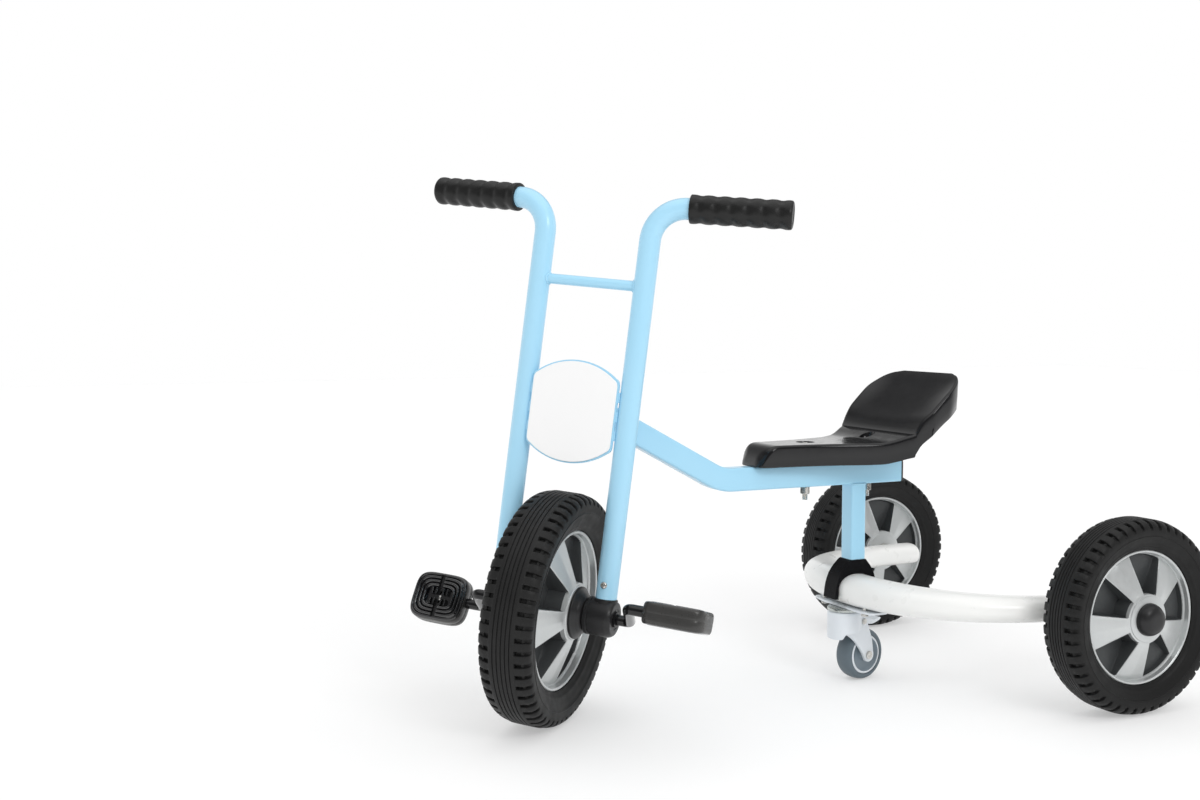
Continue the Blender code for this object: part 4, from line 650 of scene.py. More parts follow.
pedal = {"inner": 150.5, "width": 80.5, "length": 68, "square": 4.2, "tilt": {"left": -9.6, "right": 67},
         "side": [(0.25, 0), (0, 0.6), (0, 5), (0.2, 8.6), (0.7, 10.8), (1.5, 12.5), (2.6, 13.6),
                  (3.6, 13.9), (4.4, 13.5), (5.0, 12.4)],
         "ribs": 3, "ribPitch": 5.4, "ribTop": 14.5, "groove": 11.2, "well": 7.6, "sideTop": 12.6,
         "bars": (-11.5, -5.5, 5.5, 11.5), "barRows": (-7.6, 7.6), "barHalf": (1.3, 4.6), "slot": (1.5, 8.5),
         "channelHalf": 3.2, "channel": (13.5, 30), "channelTop": 17, "round": 1.2}


def pedalShape(middle):
    levels, inset, climb = list(pedal["side"]), pedal["side"][-1][0], pedal["ribTop"] - pedal["groove"]
    for rib in range(pedal["ribs"]):
        levels += [(inset + pedal["ribPitch"] * step / 8,
                    pedal["groove"] + climb * math.sin(math.pi * step / 8) ** 0.8) for step in range(1, 8)]
        levels.append((inset + pedal["ribPitch"], pedal["groove"]))
        inset += pedal["ribPitch"]
    levels += [(inset + 0.8, pedal["well"]), (inset + 7, pedal["well"])]

    def ring(shrink, height):
        outline = superOval(pedal["width"] / 2 - shrink, pedal["length"] / 2 - shrink, pedal["square"], 96)
        return sized([(middle + x, y, height) for x, y in outline])

    return loft([ring(s, h) for s, h in reversed(levels)] + [ring(s, -h) for s, h in levels[1:]])


def pedalCarving(middle):  # bars in the well; channels through the ribs, and a slot down to the spindle
    bars, channels = [], []
    (halfX, halfY), (slotX, slotY) = pedal["barHalf"], pedal["slot"]
    for face in (1, -1):
        foot, top = face * (pedal["well"] - 1), face * (pedal["ribTop"] - pedal["round"])
        for x in pedal["bars"]:
            low, high = middle + x - halfX, middle + x + halfX
            bar = [(low, foot), (low, top, pedal["round"]), (high, top, pedal["round"]), (high, foot)]
            bar = soften(bar, False)
            bars += [slab([(a, y - halfY, b) for a, b in bar], (0, 2 * halfY, 0)) for y in pedal["barRows"]]
        for y in (-1, 1):
            front, back = sorted(y * end for end in pedal["channel"])
            low, high = sorted((face * (pedal["groove"] - 0.6), face * pedal["channelTop"]))
            channels.append(box((middle - pedal["channelHalf"], front, low),
                                (middle + pedal["channelHalf"], back, high)))
        low, high = sorted((face * 2, face * pedal["channelTop"]))
        channels.append(box((middle - slotX, -slotY, low), (middle + slotX, slotY, high)))
    return [("UNION", bars), ("DIFFERENCE", channels)]


def pedalPaint(centre):  # 1 on the satin outer wall, painted paler to stand in for the light falling on it; 0 on the polished ribs
    x = (abs(centre.x) / mm - pedal["inner"] - pedal["width"] / 2) / (pedal["width"] / 2)
    y = centre.y / mm / (pedal["length"] / 2)
    outer = abs(x) ** pedal["square"] + abs(y) ** pedal["square"] > 0.84
    return int(outer and abs(centre.z) < pedal["sideTop"] * mm)


for side, word in sides:
    middle = side * (pedal["inner"] + pedal["width"] / 2)
    spindle = shift(0, -side * crank["forward"], side * crank["up"])
    tilt = Matrix.Rotation(math.radians(pedal["tilt"][word]), 4, "X")
    build("pedal_block_" + word, "pedal_" + word, "pedal pedalSide", pedalShape(middle), word + "_pedal",
          forkPlace @ spindle @ tilt, pedalCarving(middle), smooth=50, paint=pedalPaint)
print("stage: front wheel, cranks and pedals", flush=True)


# Fork tubes, screws and grips

grip = {"length": 131, "radius": 18.75, "groove": 2.2, "waves": 6, "flats": 6, "endWall": 4.3, "collar": 3.6,
        "nose": 5.0, "mouth": [(0, 4.35), (0, 1.4), (0.5, 0.5), (1.5, 0), (3.6, 0)],  # along, drop
        "tip": [(5.0, 0), (2.2, 0.3), (0.8, 1.4), (0.1, 3.2), (0, 5), (0.9, 6.2), (0.9, 18.45)]}
panScrew = {"height": 42.8, "arm": 2.6, "slot": 0.5, "cross": (-19, -16),
            "head": [(-14.3, 0), (-14.3, 4.5, 0.5), (-16.0, 4.4, 1.2), (-17.3, 2.6, 1.2), (-17.3, 0)]}


def tubePath(side):
    back, up = math.tan(math.radians(fork["sweep"])), math.tan(math.radians(fork["rise"]))
    run, top = fork["reach"] - fork["offset"], fork["elbow"] - fork["bend"] * up
    points = [(side * fork["offset"], 0, fork["foot"]), (side * fork["offset"], 0, top),
              (side * fork["reach"], run * back, top + run * up)]
    return bend(sized(points), fork["bend"] * mm, 18)


def gripShape(side):
    path = tubePath(side)
    aim = (path[-1] - path[-2]).normalized()
    mouth = path[-1] + aim * (grip["endWall"] - grip["length"]) * mm
    wide = Vector((0, 0, 1)).cross(aim).normalized()
    other = aim.cross(wide)
    full, start, run = grip["radius"], grip["collar"], grip["length"] - grip["collar"] - grip["nose"]
    marks = [(along, full - drop) for along, drop in grip["mouth"]]
    marks += [(start + run * step / 84, None) for step in range(1, 84)]
    marks += [(grip["length"] - back, full - drop) for back, drop in grip["tip"]]
    rings = []
    for along, radius in marks:
        ring = []
        for angle in rim(60):
            size = radius
            if radius is None:
                wave = 0.5 - 0.5 * math.cos(turn * grip["waves"] * (along - start) / run)
                size = full - grip["groove"] * wave ** 1.6 * (0.75 + 0.25 * math.cos(grip["flats"] * angle))
            out = wide * math.cos(angle) + other * math.sin(angle)
            ring.append(mouth + aim * along * mm + out * size * mm)
        rings.append(ring)
    return loft(rings)


def weldBead(path, size, looped=True):  # a rippled bead of weld
    return sweep(path, lambda index: circle(size * mm * (1 + 0.16 * math.sin(index * 1.6)), 10), looped)


for side, word in sides:
    build("fork_pipe_" + word, "fork_tube_" + word, "blue",
          sweep(tubePath(side), circle(fork["radius"] * mm, 48)), **onFork, smooth=45)
    build("grip_sleeve_" + word, "grip_" + word, "grip", gripShape(side), **onFork, smooth=50)
    facing = shift(side * fork["offset"], 0, panScrew["height"]) @ Matrix.Rotation(math.radians(-90), 4, "X")
    low, high = panScrew["cross"]
    cross = [box((-x, -y, low), (x, y, high)) for x, y in ((panScrew["arm"], panScrew["slot"]),
                                                           (panScrew["slot"], panScrew["arm"]))]
    build("pan_screw_" + word, "fork_screw_" + word, "zinc", turned(panScrew["head"], 32, "Z", True), "fork",
          forkPlace @ facing, [("DIFFERENCE", cross)])

crossbar = {"height": 427, "radius": 6.75, "half": 60.6}
barLine = sized([(x, 0, crossbar["height"]) for x in (-crossbar["half"], 0, crossbar["half"])])
build("cross_brace", "crossbar", "blue", sweep(barLine, circle(crossbar["radius"] * mm, 40)), **onFork,
      smooth=45)
for side, word in sides:
    bead = []
    for y, z in circle(crossbar["radius"], 72):
        x = fork["offset"] - math.sqrt(fork["radius"] ** 2 - y * y)
        bead.append(Vector((side * x, y, crossbar["height"] + z)) * mm)
    build("brace_weld_" + word, None, "blue", weldBead(bead, 1.7), **onFork, smooth=50)


# Steering plate, its panel and the lugs that hold the steering bolt

plate = {"centre": 257.5, "half": 60.3, "side": 88, "rise": 23, "corner": 5.5, "thick": 3, "ahead": 8.8,
         "tabs": 3, "tabPitch": 24.7, "tabHalf": 6.5, "tabThick": 1.8, "tabReach": 62.3}
panel = {**plate, "half": 58.5, "side": 84.2, "thick": 2.4, "ahead": 12.1}


def plateShape(spec):
    halfSide = spec["side"] / 2
    radius = (spec["half"] ** 2 + spec["rise"] ** 2) / (2 * spec["rise"])
    spread = math.degrees(math.asin((spec["half"] - spec["corner"]) / radius))
    crown = arc(0, halfSide + spec["rise"] - radius, radius, 90 - spread, 90 + spread, 30)
    start, end = Vector(crown[-1]), Vector((-spec["half"], halfSide - spec["corner"]))
    knee = Vector((-spec["half"], start.y - 0.45 * spec["corner"]))
    curve = quadratic(start, knee, end, 8)[1:]
    upper = mirrored(curve) + crown + curve
    outline = upper + [(-x, -y) for x, y in upper]
    return slab([(x, -spec["ahead"], spec["centre"] + z) for x, z in outline], (0, -spec["thick"], 0))


tabs = []
for tab in range(plate["tabs"]):
    z = plate["centre"] + (tab - (plate["tabs"] - 1) / 2) * plate["tabPitch"]
    tabs.append(box((-plate["tabReach"], -plate["ahead"] - plate["tabThick"], z - plate["tabHalf"]),
                    (plate["tabReach"], -plate["ahead"], z + plate["tabHalf"])))
build("blue_plate", "steering_plate", "blue", plateShape(plate), **onFork, carving=[("UNION", tabs)], edge=0.5)
build("white_panel", "front_panel", "panel", plateShape(panel), **onFork, edge=0.7)

lug = {"thick": 5, "endRadius": 16, "rootHalf": 24, "back": 22, "start": -8.5, "upper": 303.6, "lower": 213.4,
       "bore": 6.3}
for word in ("upper", "lower"):
    low = lug[word]
    outline = arc(0, lug["back"], lug["endRadius"], -20, 200, 36)
    outline += [(-lug["rootHalf"], lug["start"]), (lug["rootHalf"], lug["start"])]
    eye = moved(tube(low - 2, low + 7, 0, lug["bore"], count=40, axis="Z"), shift(y=lug["back"]))
    build(word + "_lug", "steering_lug_" + word, "blue",
          slab([(x, y, low) for x, y in outline], (0, 0, lug["thick"])), **onFork,
          carving=[("DIFFERENCE", [eye])], edge=0.6)
    outside = low + (lug["thick"] if word == "upper" else 0)
    root = [Vector((x, lug["start"], outside)) * mm for x in range(1 - lug["rootHalf"], lug["rootHalf"])]
    build(word + "_lug_weld", None, "blue", weldBead(root, 1.6, False), **onFork, smooth=50)


# Bolts and nuts

def hexagon(flats, limit):  # a hexagon whose corners are turned off at a radius
    return lambda angle: min(limit, flats / 2 / math.cos((angle + math.pi / 6) % (math.pi / 3) - math.pi / 6))


def stack(levels, count=72, looped=False):  # (height, radius) in millimetres up the z axis
    rings = []
    for z, radius in levels:
        sizes = [radius(angle) if callable(radius) else radius for angle in rim(count)]
        rings.append([(r * mm * math.cos(angle), r * mm * math.sin(angle), z * mm)
                      for r, angle in zip(sizes, rim(count))])
    return loft(rings, looped)


def hexLevels(flats, low, high):  # both ends are chamfered
    tight, middle, wide = (hexagon(flats, flats / 2 * share) for share in (0.95, 1.03, 1.16))
    return [(low, tight), (low + 0.5, middle), (low + 1.1, wide), (high - 1.1, wide), (high - 0.5, middle),
            (high, tight)]


def nut(flats, bore, low, high):
    return stack([(low, bore)] + hexLevels(flats, low, high) + [(high, bore)], looped=True)


def threads(low, high, radius, pitch=1.25):
    levels = []
    for step in range(int((high - low) / pitch)):
        levels += [(low + step * pitch, radius - 0.45), (low + (step + 0.5) * pitch, radius)]
    return [(low - 0.1, radius - 1.2)] + levels + [(high, radius - 0.1)]


steerBolt = {"radius": 6, "flats": 19, "head": (308.9, 314.9), "neck": 308.8, "nut": (204.1, 213.1),
             "thread": (202.1, 213), "bore": 6.3}
build("steering_screw", "steering_bolt", "zinc",
      stack(threads(*steerBolt["thread"], steerBolt["radius"]) + [(steerBolt["neck"], steerBolt["radius"])]
            + hexLevels(steerBolt["flats"], *steerBolt["head"])), "fork", boltPlace, smooth=25)
build("steering_lock_nut", "steering_nut", "zinc",
      nut(steerBolt["flats"], steerBolt["bore"], *steerBolt["nut"]), "fork", boltPlace, smooth=25)
print("stage: fork and steering", flush=True)


# Head tube and main tube

head = {"radius": 17, "bore": 11.3, "low": 221.5, "high": 300.5, "flange": 2.8, "plug": 12, "clear": 0.3,
        "ringBore": 6.4, "ringRadius": 10.9}
build("head_pipe", "head_tube", "blue",
      tube(head["low"], head["high"], head["bore"], head["radius"], 0.8, 72, "Z"), "frame", headPlace)
for word, rest, way in (("upper", head["high"], 1), ("lower", head["low"], -1)):
    inside, start, outside = (rest + way * reach for reach in (-head["plug"], head["clear"], head["flange"]))
    ring = [(inside, head["ringBore"]), (inside, head["ringRadius"]), (start, head["ringRadius"]),
            (start, head["radius"], 0.7), (outside, head["radius"], 0.7), (outside, head["ringBore"])]
    build(word + "_head_ring", "head_bush_" + word, "bush", turned(ring, 72, "Z"), "frame", headPlace)

mainTube = {"width": 26, "height": 32.5, "corner": 3.5, "middle": 306.05, "slope": 28.6, "bend": 263.6,
            "bendRadius": 70, "front": 61, "end": 563.5}
leg = {"width": 27, "depth": 25, "corner": 3.5, "middle": 489, "low": 180.3, "high": 289.5}
cap = {"start": 563.8, "levels": ((1, 0), (1, 1.6), (0.97, 2.8), (0.90, 3.6), (0.80, 4))}  # size, how far back


def mainTubeRings():
    rise = (mainTube["bend"] - mainTube["front"]) * math.tan(math.radians(mainTube["slope"]))
    corners = [(0, mainTube["front"], mainTube["middle"] + rise), (0, mainTube["bend"], mainTube["middle"]),
               (0, mainTube["end"], mainTube["middle"])]
    path = bend(sized(corners), mainTube["bendRadius"] * mm, 20)
    outline = rounded(mainTube["width"] * mm, mainTube["height"] * mm, mainTube["corner"] * mm)
    rings = []
    for index, point in enumerate(path):
        before, after = path[max(index - 1, 0)], path[min(index + 1, len(path) - 1)]
        up = across.cross((after - before).normalized())
        rings.append([point + Vector((a, 0, 0)) + up * b for a, b in outline])
    return rings


def meetHead(point, ahead, radius):  # slides a point along the main tube until it meets the head tube
    toHead = headPlace.inverted() @ framePlace
    p, d = toHead @ point, toHead.to_3x3() @ ahead
    a, b, c = d.x ** 2 + d.y ** 2, p.x * d.x + p.y * d.y, p.x ** 2 + p.y ** 2 - (radius * mm) ** 2
    return point + ahead * ((-b + math.sqrt(b * b - a * c)) / a)


tubeRings = mainTubeRings()
front, down = tubeRings[0], (tubeRings[1][0] - tubeRings[0][0]).normalized()
tubeRings[0] = [meetHead(point, down, head["radius"] + 0.3) for point in front]
build("main_pipe", "main_tube", "blue", loft(tubeRings), **onFrame, smooth=50)
build("head_weld", None, "blue", weldBead([meetHead(point, down, head["radius"]) for point in front], 2.0),
      **onFrame, smooth=50)

legOutline = [(x, leg["middle"] + y, leg["low"]) for x, y in rounded(leg["width"], leg["depth"], leg["corner"])]
build("leg_pipe", "rear_leg", "blue", slab(legOutline, (0, 0, leg["high"] - leg["low"])), **onFrame, smooth=50)
legTop = [Vector((x, leg["middle"] + y, leg["high"] + 0.2)) * mm
          for x, y in rounded(leg["width"] - 1, leg["depth"], 4, 14)]
build("leg_weld", None, "blue", weldBead(legTop, 1.5), **onFrame, smooth=50)

capRings = []
for shrink, back in cap["levels"]:
    outline = rounded(mainTube["width"] * shrink, mainTube["height"] * shrink, mainTube["corner"])
    capRings.append(sized([(x, cap["start"] + back, mainTube["middle"] + z) for x, z in outline]))
build("rear_plug", "tube_end_cap", "plastic", loft(capRings), **onFrame, smooth=50)


# Seat and its bolts

seat = {"nose": 312.5, "pan": 217.5, "back": 88, "bottom": 322.6, "top": 353.1, "height": 30.5, "slim": 34,
        "wide": 100, "panWidth": 0.93, "noseCorner": 20, "rise": 83, "panLift": 13, "curl": 9, "roll": 4.5,
        "rollMore": 0.8, "waist": 0.99, "draft": 0.97,
        "drop": [(0, 25), (3, 17.5), (6, 12.5), (10, 8), (15, 4), (20, 1.5), (26, 0)],
        "flare": [(0, 0), (0.09, 0), (0.32, 0.07), (0.53, 0.22), (0.71, 0.43), (0.82, 0.61), (0.895, 0.75),
                  (0.955, 0.88), (1, 0.97)],
        "lift": [(0, 0), (0.71, 0), (0.82, 0.08), (0.895, 0.38), (0.955, 0.76), (1, 1)],
        "backWidth": [(0, 0.914), (0.10, 0.94), (0.28, 1), (0.56, 1), (0.78, 0.92), (0.92, 0.78), (1, 0.60)],
        "backLift": [(0, 0.03), (0.10, 0.22), (0.28, 0.42), (0.56, 0.70), (0.78, 0.87), (0.92, 0.965), (1, 1)]}


def seatStation(along):  # half width, lift, curl and front drop at a distance behind the nose
    share, corner = along / seat["pan"], seat["noseCorner"]
    if along < corner:
        half = seat["slim"] - corner + corner * math.sqrt(1 - (1 - along / corner) ** 2)
        return half, 0, 0, follow(seat["drop"], along)
    if share <= 1:
        half = seat["slim"] + (seat["wide"] * seat["panWidth"] - seat["slim"]) * follow(seat["flare"], share)
        return half, seat["panLift"] * follow(seat["lift"], share), 0, follow(seat["drop"], along)
    share = (along - seat["pan"]) / seat["back"]
    curl = seat["curl"] * math.sin(math.pi * share)
    lift = seat["panLift"] + seat["rise"] * follow(seat["backLift"], share) - curl
    return seat["wide"] * follow(seat["backWidth"], share), lift, curl, 0


def seatShape():
    corner, pan = seat["noseCorner"], seat["pan"]
    marks = [corner * (1 - math.cos(math.pi / 2 * step / 12)) for step in range(12)]
    marks += [corner + (pan - corner - 0.2) * step / 44 for step in range(45)]
    marks += [pan + 0.2 + (seat["back"] - 0.2) * step / 30 for step in range(31)]
    rings = []
    for along in marks:
        half, lift, curl, drop = seatStation(along)
        top = seat["top"] + lift
        low = max(seat["bottom"], top + curl - seat["height"] - lift * 0.15)
        roll, ring = min(seat["roll"] + seat["rollMore"] * drop, top - drop - low - 1), []
        for step in range(49):
            share = math.sin(math.pi / 2 * (step / 24 - 1))
            edge = max(0.0, (abs(share) * half - (half - roll)) / roll)
            fall = roll * (1 - math.sqrt(max(0.0, 1 - edge ** 2)))
            ring.append((share * half, along, top + curl * abs(share) ** 3 - drop - fall))
        foot = half * seat["draft"]
        under = [(half * seat["waist"], along, (ring[0][2] + low) / 2), (foot + 0.2, along, low + 1.6),
                 (foot - 1.4, along, low)]
        ring += under + [(0, along, low)] + mirrored(under)
        rings.append(sized([(x, seat["nose"] + y, z) for x, y, z in ring]))
    return loft(rings)


seatBolt = {"front": 405, "rear": 511, "recess": {"front": 13.5, "rear": 10}, "floor": 348.1, "head": 348.4,
            "pan": 353, "lip": 1.6, "flare": 1.2, "above": 380, "shank": 4, "nut": (279, 289.5), "bore": 4.3,
            "flats": 13, "thread": (270.5, 289),
            "dome": [(0, 8.5), (0.9, 8.5), (1.7, 8.0), (2.8, 6.4), (3.5, 4.4), (3.9, 2.2), (4, 0.2)]}
recesses = []
for word in ("front", "rear"):
    r, wide = seatBolt["recess"][word], seatBolt["recess"][word] + seatBolt["flare"]
    recess = [(seatBolt["floor"], 0), (seatBolt["floor"], r, 0.8), (seatBolt["pan"], r),
              (seatBolt["pan"] + seatBolt["lip"], wide), (seatBolt["above"], wide), (seatBolt["above"], 0)]
    recesses.append(moved(turned(recess, 48, "Z", True), shift(y=seatBolt[word])))
build("seat_moulding", "seat", "seat", seatShape(), **onFrame, carving=[("DIFFERENCE", recesses)], smooth=45)
for word in ("front", "rear"):
    spot, z = framePlace @ shift(y=seatBolt[word]), seatBolt["head"]
    levels = threads(*seatBolt["thread"], seatBolt["shank"]) + [(z, seatBolt["shank"])]
    levels += [(z + rise, r) for rise, r in seatBolt["dome"]]
    build("saddle_bolt_" + word, "seat_bolt_" + word, "zinc", stack(levels, 48), "frame", spot, smooth=28)
    build("saddle_nut_" + word, "seat_nut_" + word, "zinc",
          nut(seatBolt["flats"], seatBolt["bore"], *seatBolt["nut"]), "frame", spot, smooth=25)
print("stage: frame and seat", flush=True)


# Rear beam and the saddle bracket over its middle

beam = {"front": 485, "middle": 136.7, "height": 46, "depth": 58, "endHeight": 34, "endDepth": 48, "half": 222,
        "reach": 248.6, "full": 2.2, "square": 2.2, "tail": 34, "axle": 132,
        "tailSteps": (1, 0.985, 0.95, 0.88, 0.76, 0.5, 0), "swell": [0.30, 0.62, 0.82, 0.94, 0.99]}
bracket = {"half": 15, "top": 180, "foot": 124.5, "spread": 36.5, "crown": (-8.5, 16.5), "bed": (30.5, 23.3),
           "slope": [(1.0, 124.5), (0.985, 130), (0.965, 136.5), (0.925, 144.4), (0.86, 152), (0.78, 158.8),
                     (0.68, 164.5), (0.57, 169.5), (0.46, 173.5), (0.36, 177.0), (0.28, 179.2)]}


def beamShape():
    power, path, base = 2 / beam["full"], [], stance["wheelbase"]
    for step in range(121):
        angle = math.pi * (0.05 + 0.90 * step / 120)
        c, s = math.cos(angle), math.sin(angle)
        path.append((beam["half"] * math.copysign(abs(c) ** power, c), base - beam["reach"] * abs(s) ** power))
    tail = [(beam["half"], base + beam["tail"] * share) for share in beam["tailSteps"]]
    path = tail + path + mirrored(tail)
    sizes = beam["swell"] + [1.0] * (len(path) - 2 * len(beam["swell"])) + beam["swell"][::-1]
    points, rings = [Vector((x, y, 0)) for x, y in path], []
    for index, point in enumerate(points):
        ahead = (points[min(index + 1, len(points) - 1)] - points[max(index - 1, 0)]).normalized()
        side, share = ahead.cross(Vector((0, 0, 1))), min(1.0, abs(point.x) / beam["half"]) ** 2
        depth = beam["depth"] + (beam["endDepth"] - beam["depth"]) * share
        height = beam["height"] + (beam["endHeight"] - beam["height"]) * share
        z = beam["middle"] + (beam["axle"] - beam["middle"]) * share
        oval = superOval(depth / 2 * sizes[index], height / 2 * sizes[index], beam["square"], 48)
        rings.append([(point + side * a + Vector((0, 0, z + b))) * mm for a, b in oval])
    return loft(rings)


def bracketShape():
    (front, back), (narrow, peak) = bracket["crown"], (bracket["slope"][-1][0], bracket["top"])
    outline = [(-bracket["spread"] * share, z) for share, z in bracket["slope"]] + [(front, peak), (back, peak)]
    outline += [(back + (bracket["spread"] - back) * (share - narrow) / (1 - narrow), z)
                for share, z in reversed(bracket["slope"])]
    bed = [(a, beam["middle"] + b) for a, b in superOval(*bracket["bed"], 2.2, 96)[:49]]
    outline += [(bed[0][0], bracket["foot"])] + bed + [(bed[-1][0], bracket["foot"])]
    return slab([(-bracket["half"], beam["front"] + y, z) for y, z in outline], (2 * bracket["half"], 0, 0))


build("beam_moulding", "rear_beam", "moulding", beamShape(), **onFrame, smooth=60)
build("bracket_arch", "saddle_bracket", "bracket", bracketShape(), **onFrame, edge=3, steps=5, sharp=45,
      smooth=40)


# Rear axles

rearHub = {"axle": (212, 327.9, 0, 7, 0.8), "spacer": (246.3, 258.06, 7.3, 13, 0.6), "cap": 31.74,
           "dome": [(0, 12), (0, 22), (3, 21.8), (7, 20.6), (11, 18.0), (13.6, 14.6), (14.8, 10.5), (15, 5),
                    (15, 0), (11, 0), (11, 12)]}
axleLine = framePlace @ shift(0, stance["wheelbase"], beam["axle"])
for side, word in sides:
    build("stub_axle_" + word, "rear_axle_" + word, "zinc", onSide(side, tube(*rearHub["axle"], 40)), "frame",
          axleLine)
    build("hub_spacer_" + word, "axle_spacer_" + word, "zinc", onSide(side, tube(*rearHub["spacer"], 48)),
          "frame", axleLine)
    dome = turned([(rearHub["cap"] + x, r) for x, r in rearHub["dome"]])
    build("hub_dome_" + word, "hub_cap_" + word, "plastic", onSide(side, dome), **onRearWheel[word], smooth=50)


# Caster: its plate on the beam, the swivelling hood, the wheel and the brake lever

caster = {"trail": 31.2, "axle": 37.5, "hoodTop": 104.8, "radius": 25, "wall": 3, "shaft": 5.4,
          "skirt": [(-25, 64.8), (-20, 66), (-16, 73.4), (0, 74.8), (25, 82.3)], "slot": (14, 50, 8),
          "cheek": (15, 4), "boss": 10, "pin": (20, 88.8), "plate": (72, 20, 110.4, 3), "plateCut": (44, 6, 5),
          "race": (105.1, 110.1, 5.3, 25, 1.6), "bolts": (50, 10), "boltHead": (10, 105.6, 110.1),
          "boltShank": [(110.1, 3), (118, 3)], "rivetHead": (19.3, 21.3), "leverHalf": 13, "coreRing": 24.8}
casterTread = [(5.5, 37.2), (9.2, 36.5), (11.4, 35.4), (12.6, 34.2), (13.3, 32.8), (13.5, 31.5), (13.5, 29.0)]
casterCore = [(13.5, 4.4), (13.5, 8.0), (12.6, 9.0), (9.0, 10.6), (8.5, 12.0), (8.5, 20.5), (9.4, 22.4),
              (12.2, 24.2), (13.3, 25.2), (13.5, 26.4), (13.2, 27.4), (12.6, 28.4)]
lever = [(-6, 4.5, 3), (-6, -4.5, 3), (10.8, -6.5, 4), (25.8, -8.5, 5), (40, -4.5, 3), (43, -1.5, 1.2),
         (40.9, 0, 1.2), (27, -3, 5), (14.2, 3.5, 5), (3, 5.5, 3)]
swivelPlace = casterPlace @ shift(0, -caster["trail"], -caster["axle"])
onSwivel = {"body": "caster_fork", "place": swivelPlace}


def hoodShell():
    top, r, wall, rings = caster["hoodTop"], caster["radius"], caster["wall"], []
    for angle in rim(96):
        s, c = math.sin(angle), math.cos(angle)
        profile = [(top, caster["shaft"]), (top, r - 3.5), (top - 0.5, r - 2.2), (top - 1.4, r - 1.0),
                   (top - 2.6, r - 0.3), (top - 4, r), (follow(caster["skirt"], r * c), r),
                   (follow(caster["skirt"], r * c), r - wall), (top - 6, r - wall), (top - 4, r - wall - 2),
                   (top - 4, caster["shaft"])]
        rings.append([(radius * mm * s, radius * mm * c, z * mm) for z, radius in profile])
    return loft(rings, looped=True)


def hoodCarving():  # two cheeks down to the axle, and a slot at the back for the lever
    top, r, trail, axle = caster["hoodTop"], caster["radius"], caster["trail"], caster["axle"]
    (slotHalf, slotLow, slotDrop), (pinBack, pinHigh) = caster["slot"], caster["pin"]
    slot = [(-slotHalf, 0.3 * r, slotLow), (slotHalf, 0.3 * r, slotLow), (slotHalf, 0.3 * r, top - slotDrop),
            (-slotHalf, 0.3 * r, top - slotDrop)]
    inner, thick = caster["cheek"]
    reach = math.sqrt(r ** 2 - (inner + thick) ** 2) - 0.3
    outline = arc(trail, axle, caster["boss"], 25, -135, 24)
    outline += soften([(trail * 0.62, axle + 3), (trail * 0.36, axle + 14, 12), (0, axle + 27, 12),
                       (-reach, follow(caster["skirt"], -reach) + 0.2)], False)
    outline += [(-reach, top - 5), (reach, top - 5)]
    outline += soften([(reach, top - 5), (pinBack + 7, pinHigh, 8), (trail + 7, axle + 22, 8),
                       (trail + 9.06, axle + 4.2)], False)[1:-1]
    cheeks = [slab([(side * inner, y, z) for y, z in outline], (side * thick, 0, 0)) for side in (-1, 1)]
    return [("UNION", cheeks), ("DIFFERENCE", [slab(slot, (0, r, 0))])]


build("caster_hood_shell", "caster_hood", "caster", hoodShell(), **onSwivel, carving=hoodCarving(), smooth=38)
(halfX, halfY, low, thick), (cutX, cutY, corner) = caster["plate"], caster["plateCut"]
right = [(cutX, -halfY, corner), (halfX, cutY - halfY, corner), (halfX, halfY - cutY, corner),
         (cutX, halfY, corner)]
outline = [(x, beam["front"] + y, low) for x, y in soften(right + mirrored(right))]
build("swivel_plate", "caster_plate", "caster", slab(outline, (0, 0, thick)), **onFrame, edge=0.5)
boltX, boltY = caster["bolts"]
for word, x, y in (("front_left", 1, -1), ("front_right", -1, -1), ("rear_left", 1, 1), ("rear_right", -1, 1)):
    build("plate_bolt_" + word, "caster_bolt_" + word, "zinc",
          stack(hexLevels(*caster["boltHead"]) + caster["boltShank"]), "frame",
          framePlace @ shift(x * boltX, beam["front"] + y * boltY), smooth=25)
build("ball_race", "caster_race", "race", tube(*caster["race"], 80, "Z"), **onSwivel)
build("soft_tread", "caster_tyre", "tread",
      turned(mirrored(casterTread) + [(0, caster["axle"])] + casterTread, 96), **onCasterWheel, smooth=50)
build("wheel_core", "caster_core", "caster core", turned(casterCore + mirrored(casterCore), 96),
      **onCasterWheel, smooth=40,
      paint=lambda centre: int(math.hypot(centre.y, centre.z) < caster["coreRing"] * mm))
leverSide = [(-caster["leverHalf"], y, z) for y, z in soften(lever, True, 5)]
build("brake_pedal", "brake_lever", "caster", slab(leverSide, (2 * caster["leverHalf"], 0, 0)), "caster_brake",
      leverPlace, edge=0.8, smooth=45)
near, far = caster["rivetHead"]
for name, node, place, radius, size in (("wheel_rivet", "caster_axle", casterPlace, 4, 6),
                                        ("brake_rivet", "brake_pin", leverPlace, 2.5, 4.5)):
    rivet = [(near, radius), (near, size, 0.2), (far, size, 0.9), (far, 0)]
    build(name, node, "zinc", turned(mirrored(rivet) + rivet, 40, "X", True), "caster_fork", place)
print("stage: rear beam and caster", flush=True)


# CAD nodes that stay, in the same finishes

for name, member in (("sleeve", "axle_bush_left"), ("sleeve", "axle_bush_right"), ("zinc", "caster_kingpin")):
    frame["nodes"][member].data.materials.clear()
    frame["nodes"][member].data.materials.append(finishes[name].material)


# Floor, lights and camera

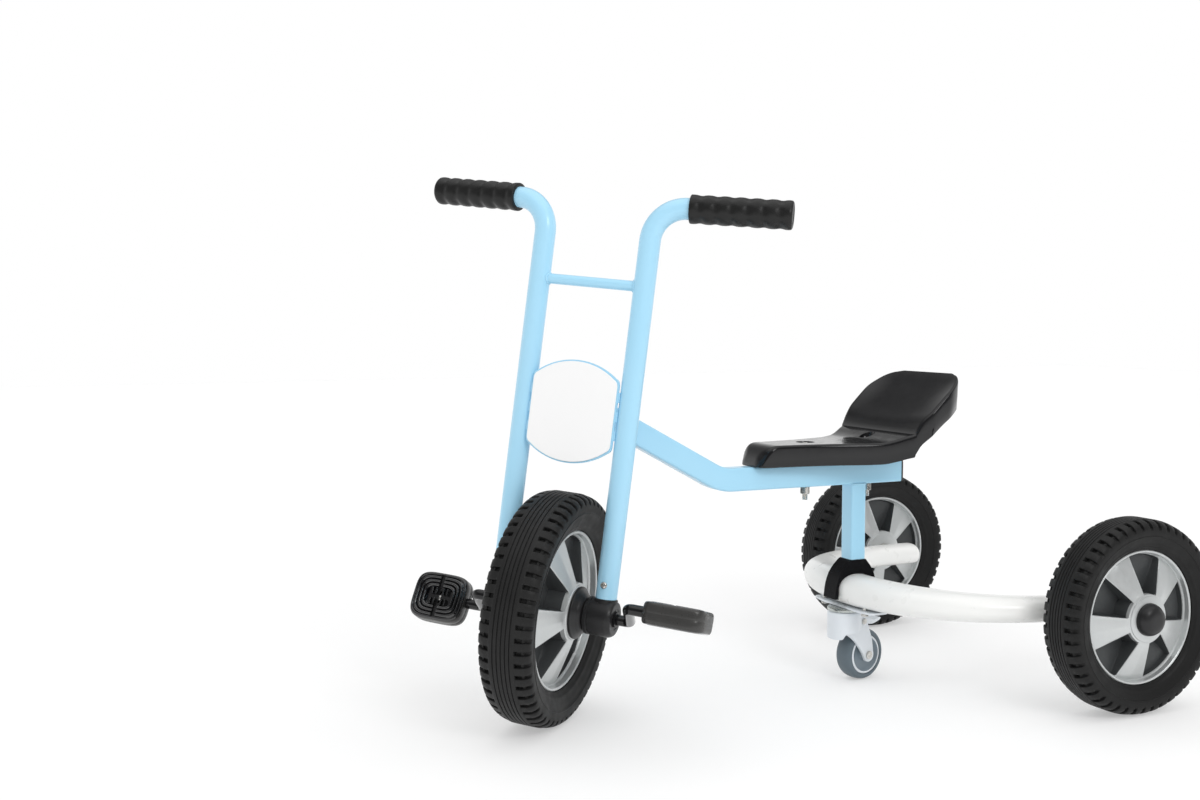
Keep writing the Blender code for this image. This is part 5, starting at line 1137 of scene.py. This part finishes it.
studio = {"world": 0.92, "floor": 0.94, "seenFloor": 0.62, "fade": (0.7, 2.6),
          "backdrop": (-0.89, 0.456, 0.0), "backdropEdge": (-0.45, 0.35), "backdropTop": (0.22, 0.55),
          "roomShine": 0.2, "ceiling": 0.7, "ceilingEdge": (0.66, 0.80),
          "lens": 41.49, "tilt": 3.671, "heading": 65.238, "eye": (1.65885, -0.68223, 0.53887)}
lights = {"overhead": ((0.3, -0.2, 3.0), (0, 0, 0.2), (3.0, 3.0), 7),  # place, target, size, power
          "key": ((2.16, 0.05, 1.7), (0.0, -0.2, 0.3), (0.9, 0.7), 13)}
floorMesh = bpy.data.meshes.new("floor")
floorMesh.from_pydata([(-9, -9, 0), (9, -9, 0), (9, 9, 0), (-9, 9, 0)], [], [(0, 1, 2, 3)])
floor = bpy.data.objects.new("floor", floorMesh)
paper = Finish("floor_paper", None)
seen = paper.ray("Camera").orMore(paper.ray("Glossy")).orMore(paper.ray("Transmission"))
away = paper.span(paper.node("ShaderNodeVectorMath", {"operation": "LENGTH"}, {0: paper.point}, 1),
                  *studio["fade"])
shade = paper.blend(paper.noise(1.2, 2), grey(studio["floor"] - 0.02), grey(studio["floor"]))
paper.feed("Base Color", paper.blend(seen, shade, grey(studio["seenFloor"])))
glow = paper.blend(away, grey(1.0 - studio["seenFloor"]), grey(1.0 - studio["seenFloor"] * studio["world"]))
paper.feed("Emission Color", paper.blend(seen, grey(0.0), glow))
paper.feed("Emission Strength", 1.0)
paper.rough(0.80, 0.05, 0.05, 5, 2)
floorMesh.materials.append(paper.material)
bpy.context.scene.collection.objects.link(floor)

bpy.context.scene.world = bpy.data.worlds.new("studio")
bpy.context.scene.world.use_nodes = True
sky = Nodes(bpy.context.scene.world.node_tree, "Background")
sky.feed("Color", (1, 1, 1, 1))
# Gloss shows a white backdrop in a darker room.
direction = sky.node("ShaderNodeTexCoord", output="Generated")
behind = sky.node("ShaderNodeVectorMath", {"operation": "DOT_PRODUCT"},
                  {0: direction, 1: studio["backdrop"]}, 1)
height = sky.node("ShaderNodeSeparateXYZ", {}, {0: direction}, "Z")
low = 1 - sky.span(height, *studio["backdropTop"])
mirror = studio["roomShine"] + (1 - studio["roomShine"]) * sky.span(behind, *studio["backdropEdge"]) * low
mirror = mirror + sky.span(height, *studio["ceilingEdge"], 0.0, studio["ceiling"])
lit = sky.span(sky.ray("Glossy"), 0.0, 1.0, studio["world"], mirror)
sky.feed("Strength", sky.span(sky.ray("Camera").orMore(sky.ray("Transmission")), 0.0, 1.0, lit, 1.0))

for name, (location, target, size, power) in lights.items():
    light = bpy.data.lights.new(name, "AREA")
    light.shape = "RECTANGLE"
    light.size, light.size_y = size
    light.energy = power
    item = bpy.data.objects.new(name, light)
    item.location = location
    item.rotation_euler = (Vector(target) - Vector(location)).to_track_quat("-Z", "Y").to_euler()
    bpy.context.scene.collection.objects.link(item)

lens = bpy.data.cameras.new("camera")
lens.lens = studio["lens"]
lens.sensor_width = 36
lens.clip_start = 0.02
camera = bpy.data.objects.new("camera", lens)
eyeX, eyeY, eyeZ = studio["eye"]
camera.location = (eyeX, eyeY + frameShift, eyeZ)
camera.rotation_euler = (math.radians(90 - studio["tilt"]), 0, math.radians(studio["heading"]))
bpy.context.scene.collection.objects.link(camera)
bpy.context.scene.camera = camera
bpy.context.scene.view_settings.view_transform = "Standard"

print("stage: floor, lights and camera", flush=True)
